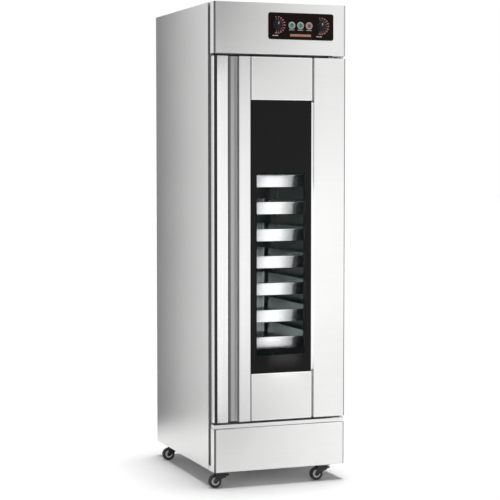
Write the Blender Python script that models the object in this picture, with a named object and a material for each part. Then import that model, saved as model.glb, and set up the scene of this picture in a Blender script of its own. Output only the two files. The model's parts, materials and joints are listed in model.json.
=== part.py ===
"""Proofing cabinet on casters, built up from its sheet-metal, glass and moving pieces.

Metres. +X is to the right as seen from the front, +Y to the rear, +Z up.
The origin is on the floor, under the middle of the body.
"""
import math

import bmesh
import bpy
from mathutils import Matrix, Vector

# Fits
GAP = 0.0003
OVERRUN = 0.004
WELD = 0.0005

# Body
BODY_WIDTH = 0.540
BODY_DEPTH = 0.730
BODY_HEIGHT = 1.780
CASTER_HEIGHT = 0.0617
OUTER_SHEET = 0.0010
LINER_SHEET = 0.0008
CORNER_RADIUS = 0.008
FOLD = 0.020
ROOF_FOLD = 0.015
BASE_FOLD = 0.020
BASE_SHEET = 0.0015
REAR_FOLD = 0.015

# Front: header, door opening, sill and lower panel
FRONT_BOX_DEPTH = 0.038
NECK_DEPTH = 0.028
NECK_SETBACK = 0.008
NECK_SHEET = 0.0012
HEADER_HEIGHT = 0.193
KICK_HEIGHT = 0.1655
SILL_SEAM = 0.0015
SILL_HEIGHT = 0.014
SILL_SETBACK = 0.005
DOOR_GAP_TOP = 0.010
DOOR_GAP_BOTTOM = 0.009

# Chamber
SIDE_WALL = 0.038
REAR_WALL = 0.040
DOOR_LAP = 0.023
BLANKET_THICKNESS = 0.014

# Door
DOOR_THICKNESS = 0.033
DOOR_INSET = 0.002
HANDLE_WIDTH = 0.100
HANDLE_STRIP = 0.056
HANDLE_RADIUS = 0.012
HANDLE_LIP = 0.009
HANDLE_UNDERCUT = 0.026
GROOVE_DEPTH = 0.024
GROOVE_RISE = 0.008
GROOVE_WALL = 0.002
LEFT_STILE_WIDTH = 0.046
RIGHT_STILE_WIDTH = 0.1294
REVEAL_WIDTH = 0.0076
TOP_PANEL_HEIGHT = 0.163
BOTTOM_PANEL_HEIGHT = 0.181
PANEL_SETBACK = 0.0015
PANEL_RADIUS = 0.002
GLASS_SETBACK = 0.003
GLASS_THICKNESS = 0.004
GLASS_EDGE = 0.0024
WINDOW_LEFT_BORDER = 0.020
WINDOW_RIGHT_BORDER = 0.021
WINDOW_LOW_BORDER = 0.061
WINDOW_HIGH_BORDER = 0.269
GLAZING_SHEET = 0.0010
GLAZING_MARGIN = 0.006
GASKET_MARGIN = 0.004
GASKET_WIDTH = 0.018
GASKET_FREE_GAP = 0.0005

# Door hinges
HINGE_INSET = 0.012
HINGE_PIN_RADIUS = 0.004
HINGE_PIN_LENGTH = 0.012
HINGE_BOSS_RADIUS = 0.008
HINGE_PLATE = 0.003
HINGE_PLATE_LENGTH = 0.050
HINGE_PLATE_DEPTH = 0.024
HINGE_PLATE_SIDE = 0.004

# Trays and racks
TRAY_COUNT = 7
TRAY_SIDE_CLEARANCE = 0.032
TRAY_REAR_CLEARANCE = 0.0057
TRAY_HEIGHT = 0.047
TRAY_FRONT_SETBACK = 0.060
LEVEL_HEADROOM = 0.3201
LOWEST_RIM_HEIGHT = 0.2901
TRAY_SHEET = 0.0010
TRAY_RIM_WIDTH = 0.008
TRAY_RIM_HEIGHT = 0.005
TRAY_TAPER = 0.005
TRAY_CORNER = 0.018
SPARE_LEVELS = 1
UPRIGHT_THICKNESS = 0.012
UPRIGHT_WIDTH = 0.025
UPRIGHT_END_INSET = 0.035
RUNNER_SHEET = 0.0015
RUNNER_LIP = 0.003
RACK_END_MARGIN = 0.018
RUNNER_REACH = 0.012
RUNNER_END_SETBACK = 0.005

# Humidity, heat and air
PAN_WIDTH = 0.300
PAN_LENGTH = 0.360
PAN_HEIGHT = 0.050
PAN_REAR_CLEARANCE = 0.045
HEATER_RADIUS = 0.004
HEATER_SPREAD = 0.030
HEATER_LIFT = 0.012
HEATER_END = 0.060
HEATER_BEND = 0.012
HEATER_FLANGE_RADIUS = 0.045
HEATER_FLANGE_THICKNESS = 0.004
DUCT_WIDTH = 0.240
DUCT_DEPTH = 0.024
DUCT_BOTTOM_CLEARANCE = 0.125
DUCT_TOP_CLEARANCE = 0.060
DUCT_SLOT_WIDTH = 0.130
DUCT_SLOT_HEIGHT = 0.006
DUCT_SLOTS = 8
DUCT_SLOTS_BELOW_FAN = 0.104
FAN_TOP_CLEARANCE = 0.170
FAN_RADIUS = 0.052
FAN_HUB_RADIUS = 0.014
FAN_BLADES = 6
FAN_BLADE_PITCH = math.radians(35.0)
FAN_BLADE_CHORD = 0.020
FAN_BLADE_THICKNESS = 0.0015
FAN_DEPTH = 0.013
FAN_SETBACK = 0.005
FAN_SHAFT_RADIUS = 0.003
FAN_SHAFT_LENGTH = 0.010
MOTOR_RADIUS = 0.036
MOTOR_LENGTH = 0.030
LAMP_CHANNEL = 0.012
LAMP_CHANNEL_DEPTH = 0.005
LAMP_TUBE_RADIUS = 0.006
LAMP_FRONT_SETBACK = 0.012
LAMP_END_INSET = 0.150
LAMP_CAP = 0.012

# Controls, as seen on the header
CONTROL_INSET = 0.1869
CONTROL_DROP = 0.0855
CONTROL_ROW_RISE = 0.0035
FACEPLATE_WIDTH = 0.2676
FACEPLATE_HEIGHT = 0.101
FACEPLATE_THICKNESS = 0.002
KNOB_LEFT_OFFSET = 0.0981
KNOB_RIGHT_OFFSET = 0.0819
KNOB_RADIUS = 0.0175
KNOB_GRIP_RADIUS = 0.0135
KNOB_SKIRT = 0.004
KNOB_HEIGHT = 0.016
KNOB_POINTER_WIDTH = 0.004
KNOB_POINTER_RISE = 0.002
SHAFT_RADIUS = 0.003
SHAFT_LENGTH = 0.010
BUTTON_OFFSET = 0.0034
BUTTON_PITCH = 0.0355
BUTTON_RADIUS = 0.0092
BUTTON_PROUD = 0.003
BUTTON_DEPTH = 0.012
BUTTON_STEM_RADIUS = 0.003
BUTTON_STEM_LENGTH = 0.006
COLLAR_RADIUS = 0.0138
COLLAR_PROUD = 0.002
COLLAR_NECK_RADIUS = 0.0112
UNIT_MARGIN = 0.010
UNIT_DEPTH = 0.026
UNIT_SHEET = 0.002

# Casters
CASTER_INSET_LEFT = 0.037
CASTER_INSET_RIGHT = 0.084
CASTER_INSET_FRONT = 0.027
CASTER_INSET_REAR = 0.116
CASTER_PLATE_SIZE = 0.050
CASTER_PLATE = 0.003
CASTER_PLATE_CORNER = 0.004
RACE_RADIUS = 0.013
RACE_HEIGHT = 0.0025
KINGPIN_RADIUS = 0.004
RIVET_RADIUS = 0.007
RIVET_HEIGHT = 0.0014
CROWN_HEIGHT = 0.0034
CASTER_TRAIL = 0.025
WHEEL_RADIUS = 0.0255
TYRE_WIDTH = 0.020
TYRE_BEVEL = 0.003
HUB_RADIUS = 0.0155
HUB_WIDTH = 0.017
HUB_DISH = 0.003
HUB_RIM = 0.004
HUB_BOSS_RADIUS = 0.006
AXLE_RADIUS = 0.003
AXLE_HEAD_RADIUS = 0.005
AXLE_HEAD = 0.0015
FORK_SHEET = 0.002
FORK_CLEARANCE = 0.0018
PEDAL_PIVOT_REACH = 0.011
PEDAL_PIVOT_DROP = 0.0125
PEDAL_BARREL_RADIUS = 0.0032
PEDAL_PIN_RADIUS = 0.0018
PEDAL_REACH = 0.032
PEDAL_THICKNESS = 0.003
PEDAL_RISE = 0.004

# Power entry
GLAND_INSET = 0.090
GLAND_HEIGHT = 0.080
GLAND_RADIUS = 0.013
GLAND_SHANK_RADIUS = 0.008
GLAND_BORE_RADIUS = 0.004
GLAND_LENGTH = 0.014
GLAND_DEPTH = 0.012

# Counts
ROUND_STEPS = 24
SMALL_STEPS = 16
CORNER_STEPS = 3
HANDLE_STEPS = 6
HEATER_TURN_STEPS = 8
BOSS_STEPS = 6

# Places worked out from the sizes above
UNDERSIDE = CASTER_HEIGHT + GAP
TOP = UNDERSIDE + BODY_HEIGHT
SIDE = BODY_WIDTH / 2
FRONT = -BODY_DEPTH / 2
REAR = BODY_DEPTH / 2
NECK_FRONT = FRONT + FRONT_BOX_DEPTH
NECK_BACK = NECK_FRONT + NECK_DEPTH
NECK_SIDE = SIDE - NECK_SETBACK
INNER_SIDE = SIDE - OUTER_SHEET - GAP
HEADER_BOTTOM = TOP - HEADER_HEIGHT
KICK_TOP = UNDERSIDE + KICK_HEIGHT
SILL_BOTTOM = KICK_TOP + SILL_SEAM
SILL_TOP = SILL_BOTTOM + SILL_HEIGHT
DOOR_BOTTOM = SILL_TOP + DOOR_GAP_BOTTOM
DOOR_TOP = HEADER_BOTTOM - DOOR_GAP_TOP
DOOR_SIDE = SIDE - DOOR_INSET
DOOR_BACK = FRONT + DOOR_THICKNESS
SKIN_BACK = DOOR_BACK - LINER_SHEET - GAP
CHAMBER_SIDE = SIDE - SIDE_WALL
CHAMBER_BOTTOM = DOOR_BOTTOM + DOOR_LAP
CHAMBER_TOP = DOOR_TOP - DOOR_LAP
CHAMBER_REAR = REAR - REAR_WALL
HANDLE_RIGHT = -DOOR_SIDE + HANDLE_WIDTH
STILE_RIGHT = HANDLE_RIGHT + LEFT_STILE_WIDTH
RIGHT_STILE_LEFT = DOOR_SIDE - RIGHT_STILE_WIDTH
CENTRE_RIGHT = RIGHT_STILE_LEFT - REVEAL_WIDTH
GLASS_TOP = DOOR_TOP - TOP_PANEL_HEIGHT
GLASS_BOTTOM = DOOR_BOTTOM + BOTTOM_PANEL_HEIGHT
GLASS_FRONT = FRONT + GLASS_SETBACK
WINDOW_LEFT = STILE_RIGHT + WINDOW_LEFT_BORDER
WINDOW_RIGHT = CENTRE_RIGHT - WINDOW_RIGHT_BORDER
WINDOW_LOW = GLASS_BOTTOM + WINDOW_LOW_BORDER
WINDOW_HIGH = GLASS_TOP - WINDOW_HIGH_BORDER
HINGE_X = DOOR_SIDE - HINGE_INSET
HINGE_Y = FRONT + HINGE_INSET
FAN_Z = CHAMBER_TOP - FAN_TOP_CLEARANCE
DUCT_BACK = CHAMBER_REAR - GAP
DUCT_FRONT = DUCT_BACK - DUCT_DEPTH
TRAY_WIDTH = 2 * (CHAMBER_SIDE - TRAY_SIDE_CLEARANCE)
TRAY_FRONT = FRONT + TRAY_FRONT_SETBACK
TRAY_BACK = DUCT_FRONT - TRAY_REAR_CLEARANCE
TRAY_LENGTH = TRAY_BACK - TRAY_FRONT
LOWEST_RIM = CHAMBER_BOTTOM + LOWEST_RIM_HEIGHT
HIGHEST_RIM = CHAMBER_TOP - LEVEL_HEADROOM
LEVEL_STEPS = SPARE_LEVELS + TRAY_COUNT - 1
TRAY_PITCH = (HIGHEST_RIM - LOWEST_RIM) / LEVEL_STEPS
TRAY_TOP = HIGHEST_RIM - SPARE_LEVELS * TRAY_PITCH
CONTROL_X = SIDE - CONTROL_INSET
CONTROL_Z = TOP - CONTROL_DROP
CONTROL_ROW_Z = CONTROL_Z + CONTROL_ROW_RISE
KNOB_LEFT_X = CONTROL_X - KNOB_LEFT_OFFSET
KNOB_RIGHT_X = CONTROL_X + KNOB_RIGHT_OFFSET
FACE_BACK = FRONT - GAP
FACE_FRONT = FACE_BACK - FACEPLATE_THICKNESS
UNIT_FRONT = FRONT + OUTER_SHEET + GAP
BUTTON_XS = [CONTROL_X - BUTTON_OFFSET + step * BUTTON_PITCH for step in (-1, 0, 1)]
GLAND_X = SIDE - GLAND_INSET
CASTER_PLACES = {
    "front_left": (-SIDE + CASTER_INSET_LEFT, FRONT + CASTER_INSET_FRONT),
    "front_right": (SIDE - CASTER_INSET_RIGHT, FRONT + CASTER_INSET_FRONT),
    "rear_left": (-SIDE + CASTER_INSET_LEFT, REAR - CASTER_INSET_REAR),
    "rear_right": (SIDE - CASTER_INSET_RIGHT, REAR - CASTER_INSET_REAR),
}
BRAKED_CASTERS = ("front_left", "front_right")

# Finishes: base colour, roughness, metallic
FINISHES = {
    "brushed_steel": ((0.76, 0.76, 0.75), 0.32, 1.0),
    "liner_steel": ((0.62, 0.63, 0.63), 0.30, 1.0),
    "tray_aluminium": ((0.78, 0.80, 0.81), 0.28, 1.0),
    "zinc_plate": ((0.50, 0.50, 0.48), 0.42, 1.0),
    "insulation": ((0.72, 0.66, 0.48), 0.95, 0.0),
    "black_glass": ((0.018, 0.020, 0.020), 0.06, 0.0),
    "gasket_rubber": ((0.03, 0.03, 0.03), 0.70, 0.0),
    "black_plastic": ((0.022, 0.022, 0.024), 0.38, 0.0),
    "faceplate_print": ((0.030, 0.012, 0.012), 0.25, 0.0),
    "collar_plastic": ((0.62, 0.64, 0.62), 0.30, 0.0),
    "green_lens": ((0.02, 0.30, 0.12), 0.20, 0.0),
    "red_lens": ((0.42, 0.02, 0.04), 0.20, 0.0),
    "lamp_glass": ((0.90, 0.94, 0.92), 0.25, 0.0),
    "heater_sheath": ((0.28, 0.25, 0.23), 0.40, 1.0),
    "black_steel": ((0.020, 0.020, 0.021), 0.42, 0.6),
    "wheel_hub": ((0.78, 0.78, 0.77), 0.25, 0.4),
    "tyre_rubber": ((0.016, 0.016, 0.017), 0.60, 0.0),
}


# Shapes

def point_on(axis, first, second, along):
    """A point from its two places across an axis and its place along it."""
    if axis == "X":
        return (along, first, second)
    if axis == "Y":
        return (first, along, second)
    return (first, second, along)


def ring_on(axis, outline, along):
    return [point_on(axis, first, second, along) for first, second in outline]


def circle(radius, steps=ROUND_STEPS, centre=(0.0, 0.0)):
    """Points round a circle, with a flat side underneath."""
    points = []
    for step in range(steps):
        angle = 2 * math.pi * (step + 0.5) / steps - math.pi / 2
        points.append((centre[0] + radius * math.cos(angle),
                       centre[1] + radius * math.sin(angle)))
    return points


def arc(centre, radius, start, end, steps=CORNER_STEPS):
    """Points on an arc between two angles in degrees, both ends included."""
    points = []
    for step in range(steps + 1):
        angle = math.radians(start + (end - start) * step / steps)
        points.append((centre[0] + radius * math.cos(angle),
                       centre[1] + radius * math.sin(angle)))
    return points


def rounded_rectangle(low, high, radius):
    """A rectangle with four round corners, anticlockwise from its lower left."""
    left, bottom = low[0] + radius, low[1] + radius
    right, top = high[0] - radius, high[1] - radius
    return (arc((left, bottom), radius, 180, 270)
            + arc((right, bottom), radius, 270, 360)
            + arc((right, top), radius, 0, 90)
            + arc((left, top), radius, 90, 180))


def solid(name, rings, hollow=False):
    """A closed mesh through a row of rings, capped at both ends or joined round."""
    mesh = bpy.data.meshes.new(name)
    build = bmesh.new()
    rows = [[build.verts.new(point) for point in ring] for ring in rings]
    if hollow:
        pairs = list(zip(rows, rows[1:] + rows[:1]))
    else:
        pairs = list(zip(rows, rows[1:]))
        build.faces.new(reversed(rows[0]))
        build.faces.new(rows[-1])
    for lower, upper in pairs:
        for index in range(len(lower)):
            after = (index + 1) % len(lower)
            build.faces.new((lower[index], lower[after], upper[after], upper[index]))
    bmesh.ops.recalc_face_normals(build, faces=build.faces)
    build.to_mesh(mesh)
    build.free()
    piece = bpy.data.objects.new(name, mesh)
    bpy.context.scene.collection.objects.link(piece)
    return piece


def box(name, low, high):
    outline = [(low[0], low[1]), (high[0], low[1]), (high[0], high[1]), (low[0], high[1])]
    return solid(name, [ring_on("Z", outline, low[2]), ring_on("Z", outline, high[2])])


def extruded(name, axis, outline, start, end):
    return solid(name, [ring_on(axis, outline, start), ring_on(axis, outline, end)])


def turned(name, axis, centre, profile, steps=ROUND_STEPS, hollow=False):
    """A turned piece: the profile lists its radius and its place along the axis."""
    rings = [ring_on(axis, circle(radius, steps, centre), along) for radius, along in profile]
    return solid(name, rings, hollow)


def rod(name, axis, centre, radius, start, end, steps=SMALL_STEPS):
    return turned(name, axis, centre, [(radius, start), (radius, end)], steps)


def combine(target, others, operation):
    """Join the target with the others, or cut them out of it; the others are used up."""
    for other in others:
        modifier = target.modifiers.new(other.name, "BOOLEAN")
        modifier.operation = operation
        modifier.solver = "EXACT"
        modifier.object = other
    graph = bpy.context.evaluated_depsgraph_get()
    mesh = bpy.data.meshes.new_from_object(target.evaluated_get(graph))
    target.modifiers.clear()
    target.data = mesh
    for other in others:
        bpy.data.objects.remove(other)
    return target


def join(target, *others):
    return combine(target, others, "UNION")


def cut(target, *others):
    return combine(target, others, "DIFFERENCE")


def front_rounded(low, high, radius):
    """An outline seen from above, with its two front corners rounded."""
    return (arc((low[0] + radius, low[1] + radius), radius, 180, 270)
            + arc((high[0] - radius, low[1] + radius), radius, 270, 360)
            + [(high[0], high[1]), (low[0], high[1])])


def folded_box(name, low, high, sheet, openings, radius=0.0):
    """A box folded from sheet, without the sides named in openings, such as "+Y"."""
    inner_low = [low[axis] + sheet for axis in range(3)]
    inner_high = [high[axis] - sheet for axis in range(3)]
    for side in openings:
        axis = "XYZ".index(side[1])
        if side[0] == "-":
            inner_low[axis] = low[axis] - OVERRUN
        else:
            inner_high[axis] = high[axis] + OVERRUN
    if radius:
        outer = extruded(name, "Z", front_rounded(low, high, radius), low[2], high[2])
        outline = front_rounded(inner_low, inner_high, radius - sheet)
        inner = extruded(name + "_inside", "Z", outline, inner_low[2], inner_high[2])
    else:
        outer = box(name, low, high)
        inner = box(name + "_inside", inner_low, inner_high)
    return cut(outer, inner)


def finish(piece, finish_name, smooth=False):
    """Give a piece its material and, where it is round, smooth shading."""
    material = bpy.data.materials.get(finish_name)
    if material is None:
        colour, roughness, metallic = FINISHES[finish_name]
        material = bpy.data.materials.new(finish_name)
        material.use_nodes = True
        shader = material.node_tree.nodes["Principled BSDF"]
        shader.inputs["Base Color"].default_value = (*colour, 1.0)
        shader.inputs["Roughness"].default_value = roughness
        shader.inputs["Metallic"].default_value = metallic
    piece.data.materials.clear()
    piece.data.materials.append(material)
    if smooth:
        piece.data.shade_smooth()
        piece.data.set_sharp_from_angle(angle=math.radians(35))
    return piece


def set_origin(piece, place):
    """Put a moving piece's origin on its joint's axis, with its shape left where it is."""
    piece.data.transform(Matrix.Translation(-Vector(place)))
    piece.location = place
    return piece


# Cabinet body

def make_side_panel(name, sign):
    """An outer side sheet with its front edge folded inwards."""
    outline = [
        (sign * SIDE, NECK_BACK),
        (sign * SIDE, REAR),
        (sign * (SIDE - OUTER_SHEET), REAR),
        (sign * (SIDE - OUTER_SHEET), NECK_BACK + OUTER_SHEET),
        (sign * (SIDE - FOLD), NECK_BACK + OUTER_SHEET),
        (sign * (SIDE - FOLD), NECK_BACK),
    ]
    panel = extruded(name, "Z", outline, UNDERSIDE, TOP)
    notch = sorted((sign * (INNER_SIDE + GAP), sign * (SIDE - FOLD - OVERRUN)))
    notch_cutter = box("notch", (notch[0], NECK_BACK - OVERRUN, UNDERSIDE - OVERRUN),
                       (notch[1], NECK_BACK + OVERRUN, UNDERSIDE + BASE_FOLD + GAP))
    finish(cut(panel, notch_cutter), "brushed_steel")


def make_body_shell():
    make_side_panel("left_side_panel", -1)
    make_side_panel("right_side_panel", 1)
    fold_back = NECK_BACK + OUTER_SHEET + GAP
    base_front = FRONT + OUTER_SHEET + GAP
    roof = folded_box("top_panel", (-INNER_SIDE, fold_back, TOP - ROOF_FOLD),
                      (INNER_SIDE, REAR, TOP), OUTER_SHEET, ["-Z"])
    finish(roof, "brushed_steel")
    base = folded_box("base_pan", (-INNER_SIDE, base_front, UNDERSIDE),
                      (INNER_SIDE, REAR, UNDERSIDE + BASE_FOLD), BASE_SHEET, ["+Z"],
                      CORNER_RADIUS - OUTER_SHEET - GAP)
    finish(base, "brushed_steel")
    rear = folded_box("rear_panel", (-INNER_SIDE, REAR - REAR_FOLD, UNDERSIDE + BASE_FOLD + GAP),
                      (INNER_SIDE, REAR, TOP - ROOF_FOLD - GAP), OUTER_SHEET, ["-Y"])
    hole = rod("gland_hole", "Y", (GLAND_X, UNDERSIDE + GLAND_HEIGHT),
               GLAND_SHANK_RADIUS + GAP, REAR - OUTER_SHEET - OVERRUN, REAR + OVERRUN)
    finish(cut(rear, hole), "brushed_steel")


def make_header():
    header = folded_box("header_panel", (-SIDE, FRONT, HEADER_BOTTOM),
                        (SIDE, NECK_FRONT - GAP, TOP), OUTER_SHEET, ["+Y"], CORNER_RADIUS)
    holes = control_holes(FRONT - OVERRUN, FRONT + OUTER_SHEET + OVERRUN)
    finish(cut(header, *holes), "brushed_steel", smooth=True)


def make_lower_front():
    panel = folded_box("lower_front_panel", (-SIDE, FRONT, UNDERSIDE),
                       (SIDE, NECK_FRONT - GAP, KICK_TOP), OUTER_SHEET, ["+Y", "-Z"],
                       CORNER_RADIUS)
    finish(panel, "brushed_steel", smooth=True)


def make_inner_liner():
    """The welded inner tank, its folded front frame and the sill under the door."""
    frame_low = UNDERSIDE + BASE_SHEET + GAP
    frame_high = TOP - NECK_SETBACK
    liner = folded_box("inner_liner", (-NECK_SIDE, NECK_FRONT, frame_low),
                       (NECK_SIDE, NECK_BACK - GAP, frame_high), NECK_SHEET, ["+Y"])
    tank = box("tank", (-CHAMBER_SIDE - LINER_SHEET, NECK_FRONT + WELD,
                        CHAMBER_BOTTOM - LINER_SHEET),
               (CHAMBER_SIDE + LINER_SHEET, CHAMBER_REAR + LINER_SHEET,
                CHAMBER_TOP + LINER_SHEET))
    sill_front = FRONT + SILL_SETBACK
    sill = box("sill", (-DOOR_SIDE, sill_front, SILL_BOTTOM),
               (DOOR_SIDE, NECK_FRONT - GAP, SILL_TOP))
    web = box("sill_web", (-NECK_SIDE + NECK_SHEET, NECK_FRONT - GAP - WELD, SILL_TOP - NECK_SHEET),
              (NECK_SIDE - NECK_SHEET, NECK_FRONT + WELD, SILL_TOP))
    under_sill = box("under_sill", (-DOOR_SIDE + NECK_SHEET, sill_front + NECK_SHEET,
                                    SILL_BOTTOM - OVERRUN),
                     (DOOR_SIDE - NECK_SHEET, NECK_FRONT - GAP + WELD, SILL_TOP - NECK_SHEET))
    cut(sill, under_sill)
    join(liner, tank, sill, web)
    cavity = box("cavity", (-CHAMBER_SIDE, NECK_FRONT - OVERRUN, CHAMBER_BOTTOM),
                 (CHAMBER_SIDE, CHAMBER_REAR, CHAMBER_TOP))
    shaft_hole = rod("shaft_hole", "Y", (0.0, FAN_Z), FAN_SHAFT_RADIUS + GAP,
                     CHAMBER_REAR - OVERRUN, CHAMBER_REAR + LINER_SHEET + OVERRUN)
    finish(cut(liner, cavity, shaft_hole), "liner_steel")


def make_insulation():
    """A blanket wrapped round the tank, open at the front and round the fan motor."""
    inner = LINER_SHEET + GAP
    outer = inner + BLANKET_THICKNESS
    blanket = box("insulation_blanket",
                  (-CHAMBER_SIDE - outer, NECK_FRONT + NECK_SHEET + GAP, CHAMBER_BOTTOM - outer),
                  (CHAMBER_SIDE + outer, CHAMBER_REAR + outer, CHAMBER_TOP + outer))
    inside = box("blanket_inside",
                 (-CHAMBER_SIDE - inner, NECK_FRONT - OVERRUN, CHAMBER_BOTTOM - inner),
                 (CHAMBER_SIDE + inner, CHAMBER_REAR + inner, CHAMBER_TOP + inner))
    motor_hole = rod("motor_hole", "Y", (0.0, FAN_Z), MOTOR_RADIUS + GAP,
                     CHAMBER_REAR, CHAMBER_REAR + outer + OVERRUN, ROUND_STEPS)
    finish(cut(blanket, inside, motor_hole), "insulation")


# Door

def handle_outline(inset, back):
    """The full-height grip seen from above: strip, undercut lip and groove.

    With an inset it is the hollow behind the folded skin.
    """
    left = -DOOR_SIDE
    right = HANDLE_RIGHT - GAP
    half = HANDLE_LIP / 2
    lip_centre = (left + HANDLE_STRIP - half, FRONT + half)
    pocket_left = left + HANDLE_STRIP - HANDLE_UNDERCUT
    floor = FRONT + GROOVE_DEPTH
    floor_centre = (pocket_left + GROOVE_RISE, floor - GROOVE_RISE)
    outline = [(left + inset, back)]
    outline += arc((left + HANDLE_RADIUS, FRONT + HANDLE_RADIUS), HANDLE_RADIUS - inset,
                   180, 270, HANDLE_STEPS)
    outline += arc(lip_centre, half - inset, 270, 450, HANDLE_STEPS)
    outline.append((pocket_left - inset, FRONT + HANDLE_LIP - inset))
    outline += arc(floor_centre, GROOVE_RISE + inset, 180, 90)
    if inset:
        outline += [(right - inset, floor + inset), (right - inset, back)]
    else:
        wall = right - GROOVE_WALL
        outline += [(wall - GROOVE_RISE, floor), (wall, floor - GROOVE_RISE), (wall, FRONT),
                    (right, FRONT), (right, back)]
    return outline


def make_handle():
    """The grip as a folded skin, closed by a plate at its top and bottom."""
    handle = extruded("door_handle_profile", "Z", handle_outline(0.0, SKIN_BACK),
                      DOOR_BOTTOM, DOOR_TOP)
    hollow = extruded("handle_hollow", "Z", handle_outline(OUTER_SHEET, SKIN_BACK + OVERRUN),
                      DOOR_BOTTOM + OUTER_SHEET, DOOR_TOP - OUTER_SHEET)
    finish(cut(handle, hollow), "brushed_steel", smooth=True)


def make_stile(name, left, right):
    return folded_box(name, (left, FRONT, DOOR_BOTTOM), (right, SKIN_BACK, DOOR_TOP),
                      OUTER_SHEET, ["+Y"], PANEL_RADIUS)


def make_door():
    make_handle()
    left_stile = make_stile("door_left_stile", HANDLE_RIGHT, STILE_RIGHT - GAP)
    finish(left_stile, "brushed_steel", smooth=True)
    right_stile = make_stile("door_right_stile", RIGHT_STILE_LEFT, DOOR_SIDE)
    pin_holes = rod("pin_holes", "Z", (HINGE_X, HINGE_Y), HINGE_PIN_RADIUS + GAP,
                    DOOR_BOTTOM - OVERRUN, DOOR_TOP + OVERRUN)
    finish(cut(right_stile, pin_holes), "brushed_steel", smooth=True)
    for name, low, high in (("door_top_panel", GLASS_TOP + GAP, DOOR_TOP),
                            ("door_bottom_panel", DOOR_BOTTOM, GLASS_BOTTOM - GAP)):
        panel = folded_box(name, (STILE_RIGHT, FRONT + PANEL_SETBACK, low),
                           (CENTRE_RIGHT, SKIN_BACK, high), OUTER_SHEET, ["+Y"], PANEL_RADIUS)
        finish(panel, "brushed_steel", smooth=True)
    glass = box("door_glass", (STILE_RIGHT, GLASS_FRONT, GLASS_BOTTOM),
                (CENTRE_RIGHT - GLASS_EDGE, GLASS_FRONT + GLASS_THICKNESS, GLASS_TOP))
    finish(glass, "black_glass")
    make_door_inner_panel()
    make_gasket()


def make_door_inner_panel():
    """The door's back sheet, with a well round the window and a flange behind the glass."""
    flange_front = GLASS_FRONT + GLASS_THICKNESS + GAP
    panel = box("door_inner_panel", (-DOOR_SIDE, DOOR_BACK - LINER_SHEET, DOOR_BOTTOM),
                (DOOR_SIDE, DOOR_BACK, DOOR_TOP))
    flange = box("flange", (STILE_RIGHT, flange_front, GLASS_BOTTOM + GLAZING_MARGIN),
                 (RIGHT_STILE_LEFT - GAP, flange_front + GLAZING_SHEET, GLASS_TOP - GLAZING_MARGIN))
    well = box("well", (WINDOW_LEFT - GLAZING_SHEET, flange_front + GLAZING_SHEET / 2,
                        WINDOW_LOW - GLAZING_SHEET),
               (WINDOW_RIGHT + GLAZING_SHEET, DOOR_BACK - LINER_SHEET / 2,
                WINDOW_HIGH + GLAZING_SHEET))
    join(panel, well, flange)
    window = box("window", (WINDOW_LEFT, flange_front - OVERRUN, WINDOW_LOW),
                 (WINDOW_RIGHT, DOOR_BACK + OVERRUN, WINDOW_HIGH))
    finish(cut(panel, window), "liner_steel")


def make_gasket():
    low = GAP + DOOR_BACK
    high = NECK_FRONT - GASKET_FREE_GAP
    inner_side = CHAMBER_SIDE + GASKET_MARGIN
    inner_low = CHAMBER_BOTTOM - GASKET_MARGIN
    inner_high = CHAMBER_TOP + GASKET_MARGIN
    gasket = box("door_gasket", (-inner_side - GASKET_WIDTH, low, inner_low - GASKET_WIDTH),
                 (inner_side + GASKET_WIDTH, high, inner_high + GASKET_WIDTH))
    hole = box("gasket_hole", (-inner_side, low - OVERRUN, inner_low),
               (inner_side, high + OVERRUN, inner_high))
    finish(cut(gasket, hole), "gasket_rubber")


def make_hinge_bracket(name, plate_low, boss_end, pin_end):
    """A bracket plate with a boss that faces the door and a pin that enters it."""
    right = DOOR_SIDE - HINGE_PLATE_SIDE
    plate = box(name, (right - HINGE_PLATE_LENGTH, HINGE_Y - HINGE_PLATE_DEPTH / 2 + GAP, plate_low),
                (right, HINGE_Y + HINGE_PLATE_DEPTH / 2, plate_low + HINGE_PLATE))
    middle = plate_low + HINGE_PLATE / 2
    boss = rod("boss", "Z", (HINGE_X, HINGE_Y), HINGE_BOSS_RADIUS,
               min(middle, boss_end), max(middle, boss_end))
    pin = rod("pin", "Z", (HINGE_X, HINGE_Y), HINGE_PIN_RADIUS,
              min(middle, pin_end), max(middle, pin_end))
    finish(join(plate, boss, pin), "zinc_plate")


def make_hinges():
    make_hinge_bracket("hinge_bracket_top", HEADER_BOTTOM - GAP - HINGE_PLATE,
                       DOOR_TOP + GAP, DOOR_TOP - HINGE_PIN_LENGTH)
    make_hinge_bracket("hinge_bracket_bottom", SILL_TOP + GAP,
                       DOOR_BOTTOM - GAP, DOOR_BOTTOM + HINGE_PIN_LENGTH)


# Trays, racks, humidity, heat and air

def level_bottom(level):
    """The height of a tray's underside, counted down from the first tray."""
    return TRAY_TOP - TRAY_HEIGHT - level * TRAY_PITCH


def dish(name, centre_x, front, width, length, bottom, height, sheet, rim_width, rim_height,
         taper, corner):
    """An open dish with sloping walls and a turned-out rim."""
    def ring(inset, level, radius):
        low = (centre_x - width / 2 + inset, front + inset)
        high = (centre_x + width / 2 - inset, front + length - inset)
        return ring_on("Z", rounded_rectangle(low, high, radius), level)

    top = bottom + height
    wall = rim_width - sheet
    return solid(name, [
        ring(wall + taper, bottom, corner - taper),
        ring(wall, top - sheet, corner),
        ring(sheet, top - sheet, corner + wall),
        ring(sheet, top - rim_height, corner + wall),
        ring(0.0, top - rim_height, corner + rim_width),
        ring(0.0, top, corner + rim_width),
        ring(rim_width, top, corner),
        ring(rim_width + taper, bottom + sheet, corner - taper),
    ])


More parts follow.
